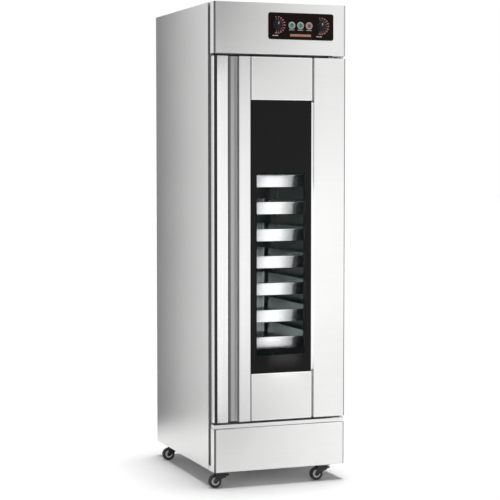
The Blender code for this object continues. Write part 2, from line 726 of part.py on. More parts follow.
def make_trays():
    for level in range(TRAY_COUNT):
        tray = dish("tray_%d" % (level + 1), 0.0, TRAY_FRONT, TRAY_WIDTH, TRAY_LENGTH,
                    level_bottom(level), TRAY_HEIGHT, TRAY_SHEET, TRAY_RIM_WIDTH,
                    TRAY_RIM_HEIGHT, TRAY_TAPER, TRAY_CORNER)
        finish(tray, "tray_aluminium", smooth=True)


def make_rack(name, sign):
    """Two wall uprights that carry one lipped runner for each level."""
    wall = CHAMBER_SIDE - GAP
    face = wall - UPRIGHT_THICKNESS
    ledge_end = TRAY_WIDTH / 2 - TRAY_RIM_WIDTH - TRAY_TAPER - RUNNER_REACH
    levels = range(-SPARE_LEVELS, TRAY_COUNT)
    upright_low = level_bottom(levels[-1]) - RACK_END_MARGIN
    upright_high = level_bottom(levels[0]) + RACK_END_MARGIN

    def bar(bar_name, start):
        xs = sorted((sign * face, sign * wall))
        return box(bar_name, (xs[0], start, upright_low),
                   (xs[1], start + UPRIGHT_WIDTH, upright_high))

    rack = bar(name, TRAY_FRONT + UPRIGHT_END_INSET)
    parts = [bar("rear_upright", TRAY_BACK - UPRIGHT_END_INSET - UPRIGHT_WIDTH)]
    outer = sign * (face + WELD)
    inner = sign * (face + WELD - RUNNER_SHEET)
    for level in levels:
        ledge = level_bottom(level) - GAP
        outline = [
            (outer, ledge - RUNNER_SHEET), (outer, ledge + RUNNER_LIP),
            (inner, ledge + RUNNER_LIP), (inner, ledge),
            (sign * ledge_end, ledge), (sign * ledge_end, ledge - RUNNER_SHEET),
        ]
        parts.append(extruded("runner", "Y", outline, TRAY_FRONT + RUNNER_END_SETBACK,
                              TRAY_BACK - RUNNER_END_SETBACK))
    finish(join(rack, *parts), "liner_steel")


def make_water_pan():
    pan = dish("water_pan", 0.0, CHAMBER_REAR - PAN_REAR_CLEARANCE - PAN_LENGTH, PAN_WIDTH,
               PAN_LENGTH, CHAMBER_BOTTOM + GAP, PAN_HEIGHT, TRAY_SHEET, TRAY_RIM_WIDTH,
               TRAY_RIM_HEIGHT, TRAY_TAPER, TRAY_CORNER)
    finish(pan, "liner_steel", smooth=True)


def heater_path():
    """The element's centre line: out of its flange, down into the pan, and a round turn."""
    start = CHAMBER_REAR - GAP - HEATER_FLANGE_THICKNESS / 2
    pan_back = CHAMBER_REAR - PAN_REAR_CLEARANCE
    high = CHAMBER_BOTTOM + PAN_HEIGHT + HEATER_LIFT + HEATER_RADIUS
    low = CHAMBER_BOTTOM + HEATER_LIFT
    turn = pan_back - PAN_LENGTH + HEATER_END + HEATER_SPREAD
    drop = pan_back - HEATER_END / 2
    side = [(start, high)]
    side += arc((drop + HEATER_BEND, high - HEATER_BEND), HEATER_BEND, 90, 180)
    side += arc((drop - HEATER_BEND, low + HEATER_BEND), HEATER_BEND, 0, -90)
    right = [(HEATER_SPREAD, along, height) for along, height in side]
    end = [(across, along, low)
           for across, along in arc((0.0, turn), HEATER_SPREAD, 0, -180, HEATER_TURN_STEPS)]
    left = [(-HEATER_SPREAD, along, height) for along, height in reversed(side)]
    return right + end + left


def make_heater():
    curve = bpy.data.curves.new("element", "CURVE")
    curve.dimensions = "3D"
    curve.bevel_depth = HEATER_RADIUS
    curve.bevel_resolution = 1
    curve.use_fill_caps = True
    points = heater_path()
    spline = curve.splines.new("POLY")
    spline.points.add(len(points) - 1)
    for place, point in zip(spline.points, points):
        place.co = (*point, 1.0)
    source = bpy.data.objects.new("element", curve)
    bpy.context.scene.collection.objects.link(source)
    graph = bpy.context.evaluated_depsgraph_get()
    mesh = bpy.data.meshes.new_from_object(source.evaluated_get(graph))
    bpy.data.objects.remove(source)
    element = bpy.data.objects.new("element", mesh)
    bpy.context.scene.collection.objects.link(element)
    height = points[0][2]
    flange = rod("heating_element", "Y", (0.0, height), HEATER_FLANGE_RADIUS,
                 CHAMBER_REAR - GAP - HEATER_FLANGE_THICKNESS, CHAMBER_REAR - GAP, ROUND_STEPS)
    finish(join(flange, element), "heater_sheath", smooth=True)


def make_duct_cover():
    """The rear air duct, with a round inlet over the fan and slots that feed the chamber."""
    low = CHAMBER_BOTTOM + DUCT_BOTTOM_CLEARANCE
    high = CHAMBER_TOP - DUCT_TOP_CLEARANCE
    cover = folded_box("duct_cover", (-DUCT_WIDTH / 2, DUCT_FRONT, low),
                       (DUCT_WIDTH / 2, DUCT_BACK, high), OUTER_SHEET, ["+Y"], PANEL_RADIUS)
    start, end = DUCT_FRONT - OVERRUN, DUCT_FRONT + OUTER_SHEET + OVERRUN
    cutters = [rod("inlet", "Y", (0.0, FAN_Z), FAN_RADIUS, start, end, ROUND_STEPS)]
    slots_top = FAN_Z - DUCT_SLOTS_BELOW_FAN
    pitch = (slots_top - low) / DUCT_SLOTS
    for slot in range(DUCT_SLOTS):
        middle = low + pitch * slot + pitch / 2
        cutters.append(box("slot", (-DUCT_SLOT_WIDTH / 2, start, middle - DUCT_SLOT_HEIGHT / 2),
                           (DUCT_SLOT_WIDTH / 2, end, middle + DUCT_SLOT_HEIGHT / 2)))
    finish(cut(cover, *cutters), "liner_steel")


def make_fan():
    centre = (0.0, FAN_Z)
    motor_front = CHAMBER_REAR + LINER_SHEET + GAP
    motor = rod("fan_motor", "Y", centre, MOTOR_RADIUS, motor_front, motor_front + MOTOR_LENGTH,
                ROUND_STEPS)
    bearing = rod("bearing", "Y", centre, FAN_SHAFT_RADIUS + GAP, motor_front - OVERRUN,
                  motor_front + FAN_SHAFT_LENGTH)
    finish(cut(motor, bearing), "zinc_plate", smooth=True)

    hub_front = DUCT_FRONT + OUTER_SHEET + FAN_SETBACK
    hub_back = hub_front + FAN_DEPTH
    impeller = rod("fan_impeller", "Y", centre, FAN_HUB_RADIUS, hub_front, hub_back)
    shaft = rod("shaft", "Y", centre, FAN_SHAFT_RADIUS, hub_back - WELD,
                motor_front + FAN_SHAFT_LENGTH - GAP)
    blades = []
    for index in range(FAN_BLADES):
        blade = box("blade", (FAN_HUB_RADIUS - FAN_SHAFT_RADIUS, -FAN_BLADE_THICKNESS / 2,
                              -FAN_BLADE_CHORD / 2),
                    (FAN_RADIUS - FAN_SHAFT_RADIUS, FAN_BLADE_THICKNESS / 2, FAN_BLADE_CHORD / 2))
        middle = Vector((0.0, (hub_front + hub_back) / 2, FAN_Z))
        turn = Matrix.Rotation(2 * math.pi * index / FAN_BLADES, 4, "Y")
        tilt = Matrix.Rotation(math.pi / 2 - FAN_BLADE_PITCH, 4, "X")
        blade.data.transform(Matrix.Translation(middle) @ turn @ tilt)
        blades.append(blade)
    join(impeller, shaft, *blades)
    set_origin(finish(impeller, "black_plastic", smooth=True), (0.0, hub_front, FAN_Z))


def make_lamp():
    """A tube lamp in a channel on the chamber's left wall, just inside the opening."""
    wall = -CHAMBER_SIDE + GAP
    front = NECK_FRONT + LAMP_FRONT_SETBACK
    low = CHAMBER_BOTTOM + LAMP_END_INSET
    high = CHAMBER_TOP - LAMP_END_INSET
    channel = box("interior_lamp", (wall, front - LAMP_CHANNEL / 2, low),
                  (wall + LAMP_CHANNEL_DEPTH, front + LAMP_CHANNEL / 2, high))
    centre = (wall + LAMP_CHANNEL_DEPTH + LAMP_TUBE_RADIUS - WELD, front)
    tube = rod("tube", "Z", centre, LAMP_TUBE_RADIUS, low + LAMP_CAP, high - LAMP_CAP)
    caps = []
    for start in (low, high - LAMP_CAP):
        caps.append(box("cap", (wall + WELD, front - LAMP_CHANNEL / 2 - WELD, start),
                        (centre[0] + LAMP_TUBE_RADIUS + WELD, front + LAMP_CHANNEL / 2 + WELD,
                         start + LAMP_CAP)))
    finish(join(channel, tube, *caps), "lamp_glass")


# Controls

def control_holes(start, end):
    """Cutters for the two knob shafts and the three button collars."""
    holes = []
    for x in (KNOB_LEFT_X, KNOB_RIGHT_X):
        holes.append(rod("shaft_hole", "Y", (x, CONTROL_ROW_Z), SHAFT_RADIUS + GAP, start, end))
    for x in BUTTON_XS:
        holes.append(rod("collar_hole", "Y", (x, CONTROL_ROW_Z), COLLAR_NECK_RADIUS + GAP,
                         start, end))
    return holes


def make_faceplate():
    low = (CONTROL_X - FACEPLATE_WIDTH / 2, CONTROL_Z - FACEPLATE_HEIGHT / 2)
    high = (CONTROL_X + FACEPLATE_WIDTH / 2, CONTROL_Z + FACEPLATE_HEIGHT / 2)
    plate = extruded("control_faceplate", "Y", rounded_rectangle(low, high, CORNER_RADIUS),
                     FACE_FRONT, FACE_BACK)
    holes = control_holes(FACE_FRONT - OVERRUN, FACE_BACK + OVERRUN)
    finish(cut(plate, *holes), "faceplate_print")


def make_control_unit():
    """The housing behind the header, with two fixed shafts and three button collars."""
    half_width = FACEPLATE_WIDTH / 2 - UNIT_MARGIN
    half_height = FACEPLATE_HEIGHT / 2 - UNIT_MARGIN
    unit = folded_box("control_unit",
                      (CONTROL_X - half_width, UNIT_FRONT, CONTROL_Z - half_height),
                      (CONTROL_X + half_width, UNIT_FRONT + UNIT_DEPTH,
                       CONTROL_Z + half_height), UNIT_SHEET, ["+Y"])
    parts = []
    knob_back = FACE_FRONT - GAP
    for x in (KNOB_LEFT_X, KNOB_RIGHT_X):
        parts.append(rod("shaft", "Y", (x, CONTROL_ROW_Z), SHAFT_RADIUS,
                         knob_back - SHAFT_LENGTH, UNIT_FRONT + UNIT_SHEET / 2))
    flange_back = FACE_FRONT - GAP
    flange_front = flange_back - COLLAR_PROUD
    sleeve_back = FACE_FRONT + BUTTON_DEPTH + BUTTON_STEM_LENGTH
    cutters = []
    for x in BUTTON_XS:
        centre = (x, CONTROL_ROW_Z)
        parts.append(turned("collar", "Y", centre, [
            (COLLAR_RADIUS, flange_front), (COLLAR_RADIUS, flange_back),
            (COLLAR_NECK_RADIUS, flange_back), (COLLAR_NECK_RADIUS, sleeve_back)],
            SMALL_STEPS))
        cutters.append(rod("well", "Y", centre, BUTTON_RADIUS + GAP, flange_front - OVERRUN,
                           sleeve_back - UNIT_SHEET))
    join(unit, *parts)
    finish(cut(unit, *cutters), "collar_plastic", smooth=True)


def make_knob(name, x):
    """A round knob with a skirt, a grip and a raised pointer, bored for its shaft."""
    centre = (x, CONTROL_ROW_Z)
    back = FACE_FRONT - GAP
    front = back - KNOB_HEIGHT
    skirt = back - KNOB_SKIRT
    slope = KNOB_RADIUS - KNOB_GRIP_RADIUS
    knob = turned(name, "Y", centre, [
        (KNOB_RADIUS, back), (KNOB_RADIUS, skirt + slope / 4), (KNOB_RADIUS - slope / 2, skirt),
        (KNOB_GRIP_RADIUS, skirt - slope / 2), (KNOB_GRIP_RADIUS - slope / 4, front + slope / 4),
        (KNOB_GRIP_RADIUS - slope / 2, front)])
    pointer = box("pointer", (x - KNOB_POINTER_WIDTH / 2, front - KNOB_POINTER_RISE,
                              CONTROL_ROW_Z - KNOB_GRIP_RADIUS / 2),
                  (x + KNOB_POINTER_WIDTH / 2, front + KNOB_POINTER_RISE,
                   CONTROL_ROW_Z + KNOB_GRIP_RADIUS - slope / 2))
    bore = rod("bore", "Y", centre, SHAFT_RADIUS + GAP, back - SHAFT_LENGTH - GAP, back + OVERRUN)
    join(knob, pointer)
    cut(knob, bore)
    set_origin(finish(knob, "black_plastic", smooth=True), (x, back, CONTROL_ROW_Z))


def make_button(name, x, finish_name):
    """A push button: a lens in its collar, on a stem with room for its travel."""
    centre = (x, CONTROL_ROW_Z)
    front = FACE_FRONT - GAP - COLLAR_PROUD - BUTTON_PROUD
    back = FACE_FRONT + BUTTON_DEPTH - BUTTON_PROUD
    stem_end = back + BUTTON_STEM_LENGTH - BUTTON_PROUD
    button = turned(name, "Y", centre, [
        (BUTTON_RADIUS - BUTTON_PROUD / 3, front), (BUTTON_RADIUS, front + BUTTON_PROUD / 3),
        (BUTTON_RADIUS, back), (BUTTON_STEM_RADIUS, back), (BUTTON_STEM_RADIUS, stem_end)],
        SMALL_STEPS)
    set_origin(finish(button, finish_name, smooth=True), (x, front, CONTROL_ROW_Z))


def make_controls():
    make_faceplate()
    make_control_unit()
    make_knob("temperature_knob", KNOB_LEFT_X)
    make_knob("humidity_knob", KNOB_RIGHT_X)
    make_button("power_button", BUTTON_XS[0], "green_lens")
    make_button("humidifier_button", BUTTON_XS[1], "green_lens")
    make_button("lamp_button", BUTTON_XS[2], "red_lens")


# Casters

def make_caster_plate(label, x, y):
    """The fixed plate, with the ball race, the kingpin and its riveted end."""
    plate_low = CASTER_HEIGHT - CASTER_PLATE
    race_low = plate_low - RACE_HEIGHT
    pin_low = race_low - GAP - CROWN_HEIGHT - GAP
    half = CASTER_PLATE_SIZE / 2
    outline = rounded_rectangle((x - half, y - half), (x + half, y + half), CASTER_PLATE_CORNER)
    plate = extruded("caster_plate_" + label, "Z", outline, plate_low, CASTER_HEIGHT)
    stem = turned("stem", "Z", (x, y), [
        (RIVET_RADIUS, pin_low - RIVET_HEIGHT), (RIVET_RADIUS, pin_low),
        (KINGPIN_RADIUS, pin_low), (KINGPIN_RADIUS, race_low),
        (RACE_RADIUS, race_low), (RACE_RADIUS, plate_low + WELD)], SMALL_STEPS)
    finish(join(plate, stem), "zinc_plate")


def fork_outline(x, axle_x):
    """The side of the fork: round under the axle, and wide at the crown."""
    crown_top = CASTER_HEIGHT - CASTER_PLATE - RACE_HEIGHT - GAP
    crown_low = crown_top - CROWN_HEIGHT
    boss = HUB_BOSS_RADIUS + FORK_SHEET
    pivot_z = crown_top - PEDAL_PIVOT_DROP
    ear = PEDAL_BARREL_RADIUS + FORK_SHEET
    pivot_x = x + PEDAL_PIVOT_REACH
    return (arc((axle_x, WHEEL_RADIUS), boss, 170, 350, BOSS_STEPS)
            + [(pivot_x - ear, pivot_z - ear)]
            + arc((pivot_x, pivot_z), ear, 270, 360)
            + [(pivot_x + ear, crown_low), (pivot_x + ear, crown_top),
               (axle_x + boss / 2, crown_top)])


def make_caster_fork(label, x, y, braked):
    """The swivelling fork: a crown, two cheeks and the riveted axle."""
    axle_x = x - CASTER_TRAIL
    crown_top = CASTER_HEIGHT - CASTER_PLATE - RACE_HEIGHT - GAP
    inner = TYRE_WIDTH / 2 + FORK_CLEARANCE
    outer = inner + FORK_SHEET
    outline = fork_outline(x, axle_x)
    pivot_x = x + PEDAL_PIVOT_REACH
    pivot_z = crown_top - PEDAL_PIVOT_DROP
    ear = PEDAL_BARREL_RADIUS + FORK_SHEET
    crown_left = axle_x + (HUB_BOSS_RADIUS + FORK_SHEET) / 2
    fork = box("caster_fork_" + label, (crown_left, y - outer, crown_top - CROWN_HEIGHT),
               (pivot_x + ear, y + outer, crown_top))
    cheeks = [extruded("cheek", "Y", outline, y - outer, y - inner),
              extruded("cheek", "Y", outline, y + inner, y + outer)]
    axle = turned("axle", "Y", (axle_x, WHEEL_RADIUS), [
        (AXLE_HEAD_RADIUS, y - outer - AXLE_HEAD), (AXLE_HEAD_RADIUS, y - outer + WELD),
        (AXLE_RADIUS, y - outer + WELD), (AXLE_RADIUS, y + outer - WELD),
        (AXLE_HEAD_RADIUS, y + outer - WELD), (AXLE_HEAD_RADIUS, y + outer + AXLE_HEAD)],
        SMALL_STEPS)
    join(fork, *cheeks, axle)
    cutters = [rod("kingpin_hole", "Z", (x, y), KINGPIN_RADIUS + GAP,
                   crown_top - CROWN_HEIGHT - OVERRUN, crown_top + OVERRUN)]
    if braked:
        cutters.append(rod("pedal_hole", "Y", (pivot_x, pivot_z), PEDAL_PIN_RADIUS + GAP,
                           y - outer - OVERRUN, y + outer + OVERRUN))
    cut(fork, *cutters)
    set_origin(finish(fork, "black_steel", smooth=True), (x, y, crown_top))


def make_wheel(label, x, y):
    """A tyre on a hub that turns on the fork's axle."""
    centre = (x - CASTER_TRAIL, WHEEL_RADIUS)
    flat = math.cos(math.pi / ROUND_STEPS)
    tread = WHEEL_RADIUS / flat
    half = TYRE_WIDTH / 2
    seat = HUB_RADIUS + GAP / flat
    tyre = turned("caster_tyre_" + label, "Y", centre, [
        (seat, y - half + TYRE_BEVEL), (tread - TYRE_BEVEL * 2, y - half),
        (tread - TYRE_BEVEL / 3, y - half + TYRE_BEVEL), (tread, y - half + TYRE_BEVEL * 2),
        (tread, y + half - TYRE_BEVEL * 2), (tread - TYRE_BEVEL / 3, y + half - TYRE_BEVEL),
        (tread - TYRE_BEVEL * 2, y + half), (seat, y + half - TYRE_BEVEL)], hollow=True)
    set_origin(finish(tyre, "tyre_rubber", smooth=True), (centre[0], y, centre[1]))
    half = HUB_WIDTH / 2
    bore = AXLE_RADIUS + GAP / flat
    web = HUB_RADIUS - HUB_RIM
    hub = turned("caster_hub_" + label, "Y", centre, [
        (bore, y - half), (HUB_BOSS_RADIUS, y - half), (HUB_BOSS_RADIUS, y - half + HUB_DISH),
        (web, y - half + HUB_DISH), (web + HUB_RIM / 4, y - half), (HUB_RADIUS, y - half),
        (HUB_RADIUS, y + half), (web + HUB_RIM / 4, y + half), (web, y + half - HUB_DISH),
        (HUB_BOSS_RADIUS, y + half - HUB_DISH), (HUB_BOSS_RADIUS, y + half), (bore, y + half)],
        hollow=True)
    set_origin(finish(hub, "wheel_hub", smooth=True), (centre[0], y, centre[1]))


def make_pedal(label, x, y):
    """A brake pedal that pivots between the fork's cheeks, over the wheel's far side."""
    crown_top = CASTER_HEIGHT - CASTER_PLATE - RACE_HEIGHT - GAP
    pivot_x = x + PEDAL_PIVOT_REACH
    pivot_z = crown_top - PEDAL_PIVOT_DROP
    inner = TYRE_WIDTH / 2 + FORK_CLEARANCE
    barrel = rod("brake_pedal_" + label, "Y", (pivot_x, pivot_z), PEDAL_BARREL_RADIUS,
                 y - inner + GAP, y + inner - GAP)
    pin = rod("pin", "Y", (pivot_x, pivot_z), PEDAL_PIN_RADIUS, y - inner - FORK_SHEET,
              y + inner + FORK_SHEET)
    outline = [
        (pivot_x, pivot_z - PEDAL_THICKNESS / 2),
        (x + PEDAL_REACH - PEDAL_THICKNESS, pivot_z + PEDAL_RISE - PEDAL_THICKNESS / 2),
        (x + PEDAL_REACH, pivot_z + PEDAL_RISE + PEDAL_THICKNESS / 4),
        (x + PEDAL_REACH - PEDAL_THICKNESS, pivot_z + PEDAL_RISE + PEDAL_THICKNESS),
        (pivot_x, pivot_z + PEDAL_THICKNESS / 2),
    ]
    lever = extruded("lever", "Y", outline, y - inner + FORK_CLEARANCE, y + inner - FORK_CLEARANCE)
    pedal = join(barrel, pin, lever)
    set_origin(finish(pedal, "black_plastic", smooth=True), (pivot_x, y, pivot_z))


def make_casters():
    for label, (x, y) in CASTER_PLACES.items():
        braked = label in BRAKED_CASTERS
        make_caster_plate(label, x, y)
        make_caster_fork(label, x, y, braked)
        make_wheel(label, x, y)
        if braked:
            make_pedal(label, x, y)


def make_cable_gland():
    """The power entry: a hexagon nut on the rear panel and a shank through it."""
    centre = (GLAND_X, UNDERSIDE + GLAND_HEIGHT)
    nut = turned("cable_gland", "Y", centre, [
        (GLAND_RADIUS, REAR + GAP), (GLAND_RADIUS, REAR + GLAND_LENGTH / 2),
        (GLAND_SHANK_RADIUS, REAR + GLAND_LENGTH)], 6)
    shank = rod("shank", "Y", centre, GLAND_SHANK_RADIUS, REAR - GLAND_DEPTH,
                REAR + GLAND_LENGTH / 4)
    bore = rod("bore", "Y", centre, GLAND_BORE_RADIUS, REAR - GLAND_DEPTH - OVERRUN,
               REAR + GLAND_LENGTH + OVERRUN)
    join(nut, shank)
    finish(cut(nut, bore), "black_plastic")


def main():
    for piece in list(bpy.data.objects):
        bpy.data.objects.remove(piece)
    make_body_shell()
    make_header()
    make_lower_front()
    make_inner_liner()
    make_insulation()
    make_hinges()
    make_door()
    make_trays()
    make_rack("left_tray_rack", -1)
    make_rack("right_tray_rack", 1)
    make_water_pan()
    make_heater()
    make_duct_cover()
    make_fan()
    make_lamp()
    make_controls()
    make_casters()
    make_cable_gland()


main()
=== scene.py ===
"""A proofing cabinet on casters: its looks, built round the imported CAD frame."""

import json
import math

import bmesh
import bpy
from mathutils import Matrix, Vector


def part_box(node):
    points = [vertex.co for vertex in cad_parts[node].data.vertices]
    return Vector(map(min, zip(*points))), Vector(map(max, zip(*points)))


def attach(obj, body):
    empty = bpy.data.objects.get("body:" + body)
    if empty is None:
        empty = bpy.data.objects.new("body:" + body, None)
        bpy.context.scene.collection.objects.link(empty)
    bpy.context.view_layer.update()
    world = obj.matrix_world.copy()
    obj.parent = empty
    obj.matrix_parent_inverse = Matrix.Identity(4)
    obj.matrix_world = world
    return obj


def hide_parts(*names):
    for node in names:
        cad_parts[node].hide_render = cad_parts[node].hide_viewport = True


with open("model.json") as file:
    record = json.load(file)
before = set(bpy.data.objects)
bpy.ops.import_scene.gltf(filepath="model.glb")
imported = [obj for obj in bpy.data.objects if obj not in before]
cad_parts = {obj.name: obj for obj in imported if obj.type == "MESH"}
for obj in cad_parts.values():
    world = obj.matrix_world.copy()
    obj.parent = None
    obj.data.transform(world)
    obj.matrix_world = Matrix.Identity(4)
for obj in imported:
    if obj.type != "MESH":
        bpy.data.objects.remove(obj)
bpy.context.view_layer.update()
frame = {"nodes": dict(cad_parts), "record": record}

NODES = frame["nodes"]
BODY_OF = {node: body for body, nodes in frame["record"]["behaviour"]["bodies"].items()
           for node in nodes}
SLOT_OF = {part["node"]: part["material_slot"] for part in frame["record"]["subparts"]}

# Camera, solved from the photograph's corners
CAMERA_PLACE = (-2.17063, -5.81973, 1.24444)
CAMERA_YAW = 20.5606
CAMERA_PITCH = -3.3087
FOCAL_PIXELS = 1536.73
IMAGE_PIXELS = 500
SENSOR = 36.0

WELD = 0.00001
SHEET_EDGE = 0.0003
TRAYS = 7


# Camera, light and floor

def make_camera():
    data = bpy.data.cameras.new("camera")
    data.sensor_width = SENSOR
    data.lens = FOCAL_PIXELS * SENSOR / IMAGE_PIXELS
    camera = bpy.data.objects.new("camera", data)
    camera.location = CAMERA_PLACE
    camera.rotation_euler = (math.radians(90 + CAMERA_PITCH), 0.0, math.radians(-CAMERA_YAW))
    bpy.context.scene.collection.objects.link(camera)
    bpy.context.scene.camera = camera


def node(tree, kind, **values):
    """A shader node with its properties and, under their names, its inputs set."""
    made = tree.nodes.new(kind)
    for key, value in values.items():
        if hasattr(made, key):
            setattr(made, key, value)
        else:
            made.inputs[key.replace("_", " ").title()].default_value = value
    return made


def link(tree, start, end):
    tree.links.new(start, end)


def maths(tree, operation, *values):
    """A maths node on numbers or on other nodes' outputs."""
    made = tree.nodes.new("ShaderNodeMath")
    made.operation = operation
    for place, value in enumerate(values):
        if isinstance(value, (int, float)):
            made.inputs[place].default_value = value
        else:
            link(tree, value, made.inputs[place])
    return made.outputs[0]


def ramp(tree, value, stops, interpolation="EASE"):
    """A colour ramp of greys or colours along a value."""
    made = tree.nodes.new("ShaderNodeValToRGB")
    made.color_ramp.interpolation = interpolation
    points = made.color_ramp.elements
    while len(points) < len(stops):
        points.new(1.0)
    for point, (place, colour) in zip(points, stops):
        point.position = place
        if isinstance(colour, (int, float)):
            colour = (colour, colour, colour)
        point.color = (*colour, 1.0)
    link(tree, value, made.inputs[0])
    return made.outputs[0]


AMBIENT = 0.18
FLOOR_REACH = 40.0

# How pale the floor is to matt surfaces; the camera, metal and glass see it white
FLOOR_BOUNCE = 0.46

# Each sun's direction, strength and angle across in degrees
KEY_SUN = ((-0.05, -0.03, -1.0), 2.5, 18.0)
FILL_SUN = ((0.4, 0.9, -0.35), 0.6, 60.0)

# Reflector cards: where they stand, and how bright they are at places across and up
FRONT_CARD_Y = -1.0
FRONT_CARD_X = (-0.17, 1.7)
FRONT_CARD_Z = (-0.1, 2.3)
FRONT_LEVELS = ((0.0, 1.20), (0.12, 1.18), (0.30, 1.07), (0.60, 1.22), (1.00, 1.26),
                (1.35, 1.13), (1.60, 1.00), (1.72, 1.06), (2.20, 1.04))
FRONT_LEFT_SHARES = ((-0.17, 0.10), (-0.03, 0.22), (0.03, 0.42), (0.08, 0.54), (0.17, 0.66),
                     (0.51, 1.0))
FRONT_LEFT_WEIGHTS = ((0.0, 1.0), (0.15, 0.9), (0.30, 0.35), (0.60, 0.2), (1.50, 0.2),
                      (1.62, 0.3), (1.74, 1.0))
SIDE_CARD_Y = 1.0
SIDE_CARD_X = (-1.7, -0.08)
SIDE_CARD_Z = (0.0, 2.5)
SIDE_LEVELS = ((-0.80, 0.92), (-0.76, 0.89), (-0.70, 0.82), (-0.64, 0.66), (-0.56, 0.42),
               (-0.48, 0.22), (-0.40, 0.12), (-0.30, 0.10))
SIDE_LOW_SHARES = ((0.0, 0.74), (0.08, 0.78), (0.20, 0.96), (0.45, 1.0))
STRIP_CARD_Y = -0.98
STRIP_CARD_X = (-0.16, -0.01)
STRIP_CARD_Z = (0.12, 1.64)
STRIP_LEVEL = 1.35
WINDOW_CARD_Y = -0.55
WINDOW_CARD_X = (-0.03, 0.21)
WINDOW_CARD_Z = (0.415, 1.16)
WINDOW_ACROSS = ((-0.03, 0.22), (0.012, 0.24), (0.045, 0.75), (0.080, 1.0), (0.132, 0.95),
                 (0.155, 0.55), (0.175, 0.3), (0.21, 0.3))
WINDOW_LEVEL = 3.3
CARD_FADE = 0.20
NARROW_FADE = 0.05


def sees_background(tree, path):
    """1 for the rays that show the pale background: the camera's, and those of metal and glass."""
    reflected = maths(tree, "MAXIMUM", path.outputs["Is Glossy Ray"],
                      path.outputs["Is Transmission Ray"])
    return maths(tree, "MAXIMUM", path.outputs["Is Camera Ray"], reflected)


def make_world():
    """White to the camera, metal and glass, and a soft even light on matt surfaces."""
    world = bpy.data.worlds.new("studio")
    bpy.context.scene.world = world
    world.use_nodes = True
    tree = world.node_tree
    tree.nodes.clear()
    path = tree.nodes.new("ShaderNodeLightPath")
    backgrounds = [node(tree, "ShaderNodeBackground", Strength=strength)
                   for strength in (AMBIENT, 1.0)]
    for background in backgrounds:
        background.inputs["Color"].default_value = (1.0, 1.0, 1.0, 1.0)
    seen = tree.nodes.new("ShaderNodeMixShader")
    link(tree, sees_background(tree, path), seen.inputs[0])
    link(tree, backgrounds[0].outputs[0], seen.inputs[1])
    link(tree, backgrounds[1].outputs[0], seen.inputs[2])
    output = tree.nodes.new("ShaderNodeOutputWorld")
    link(tree, seen.outputs[0], output.inputs[0])


def stops_between(span, stops):
    """Ramp stops for places given in metres within a span."""
    return [((place - span[0]) / (span[1] - span[0]), value) for place, value in stops]


def share_of(tree, value, span):
    """Where a value lies within a span, from 0 to 1."""
    width = span[1] - span[0]
    return maths(tree, "MULTIPLY_ADD", value, 1 / width, -span[0] / width)


def make_card(name, across, height, y, faces_back, fades, brightness):
    """An upright reflector that only reflections show.

    Its left, right, low and high edges are soft over the widths that fades gives them, and
    the brightness function gives its level from its places across and up.
    """
    corners = [(across[0], y, height[0]), (across[1], y, height[0]),
               (across[1], y, height[1]), (across[0], y, height[1])]
    if faces_back:
        corners.reverse()
    mesh = bpy.data.meshes.new(name)
    mesh.from_pydata(corners, [], [(0, 1, 2, 3)])
    card = bpy.data.objects.new(name, mesh)
    bpy.context.scene.collection.objects.link(card)
    for kind in ("camera", "diffuse", "transmission", "volume_scatter", "shadow"):
        setattr(card, "visible_" + kind, False)
    material = bpy.data.materials.new(name)
    material.use_nodes = True
    tree = material.node_tree
    tree.nodes.clear()
    place = tree.nodes.new("ShaderNodeTexCoord")
    split = tree.nodes.new("ShaderNodeSeparateXYZ")
    link(tree, place.outputs["Object"], split.inputs[0])
    x_share = share_of(tree, split.outputs["X"], across)
    z_share = share_of(tree, split.outputs["Z"], height)
    glow = tree.nodes.new("ShaderNodeEmission")
    link(tree, brightness(tree, x_share, z_share), glow.inputs["Strength"])
    geometry = tree.nodes.new("ShaderNodeNewGeometry")
    cover = maths(tree, "SUBTRACT", 1.0, geometry.outputs["Backfacing"])
    for share, span, low, high in ((x_share, across, "left", "right"),
                                   (z_share, height, "low", "high")):
        width = span[1] - span[0]
        if low in fades:
            soft = ramp(tree, share, ((0, 0), (fades[low] / width, 1)))
            cover = maths(tree, "MULTIPLY", cover, soft)
        if high in fades:
            soft = ramp(tree, share, ((1 - fades[high] / width, 1), (1, 0)))
            cover = maths(tree, "MULTIPLY", cover, soft)
    clear = tree.nodes.new("ShaderNodeBsdfTransparent")
    mix = tree.nodes.new("ShaderNodeMixShader")
    link(tree, cover, mix.inputs[0])
    link(tree, clear.outputs[0], mix.inputs[1])
    link(tree, glow.outputs[0], mix.inputs[2])
    output = tree.nodes.new("ShaderNodeOutputMaterial")
    link(tree, mix.outputs[0], output.inputs[0])
    mesh.materials.append(material)


def half_levels(stops):
    """Levels at half strength, because a ramp's colours stop at 1."""
    return [(place, value / 2) for place, value in stops]


def front_brightness(tree, x_share, z_share):
    level = ramp(tree, z_share, stops_between(FRONT_CARD_Z, half_levels(FRONT_LEVELS)), "LINEAR")
    left = ramp(tree, x_share, stops_between(FRONT_CARD_X, FRONT_LEFT_SHARES), "LINEAR")
    weight = ramp(tree, z_share, stops_between(FRONT_CARD_Z, FRONT_LEFT_WEIGHTS), "LINEAR")
    loss = maths(tree, "MULTIPLY", maths(tree, "SUBTRACT", 1.0, left), weight)
    return maths(tree, "MULTIPLY", maths(tree, "MULTIPLY", level, 2.0),
                 maths(tree, "SUBTRACT", 1.0, loss))


def side_brightness(tree, x_share, z_share):
    across = ramp(tree, x_share, stops_between(SIDE_CARD_X, SIDE_LEVELS), "LINEAR")
    low = ramp(tree, z_share, stops_between(SIDE_CARD_Z, SIDE_LOW_SHARES), "LINEAR")
    return maths(tree, "MULTIPLY", across, low)


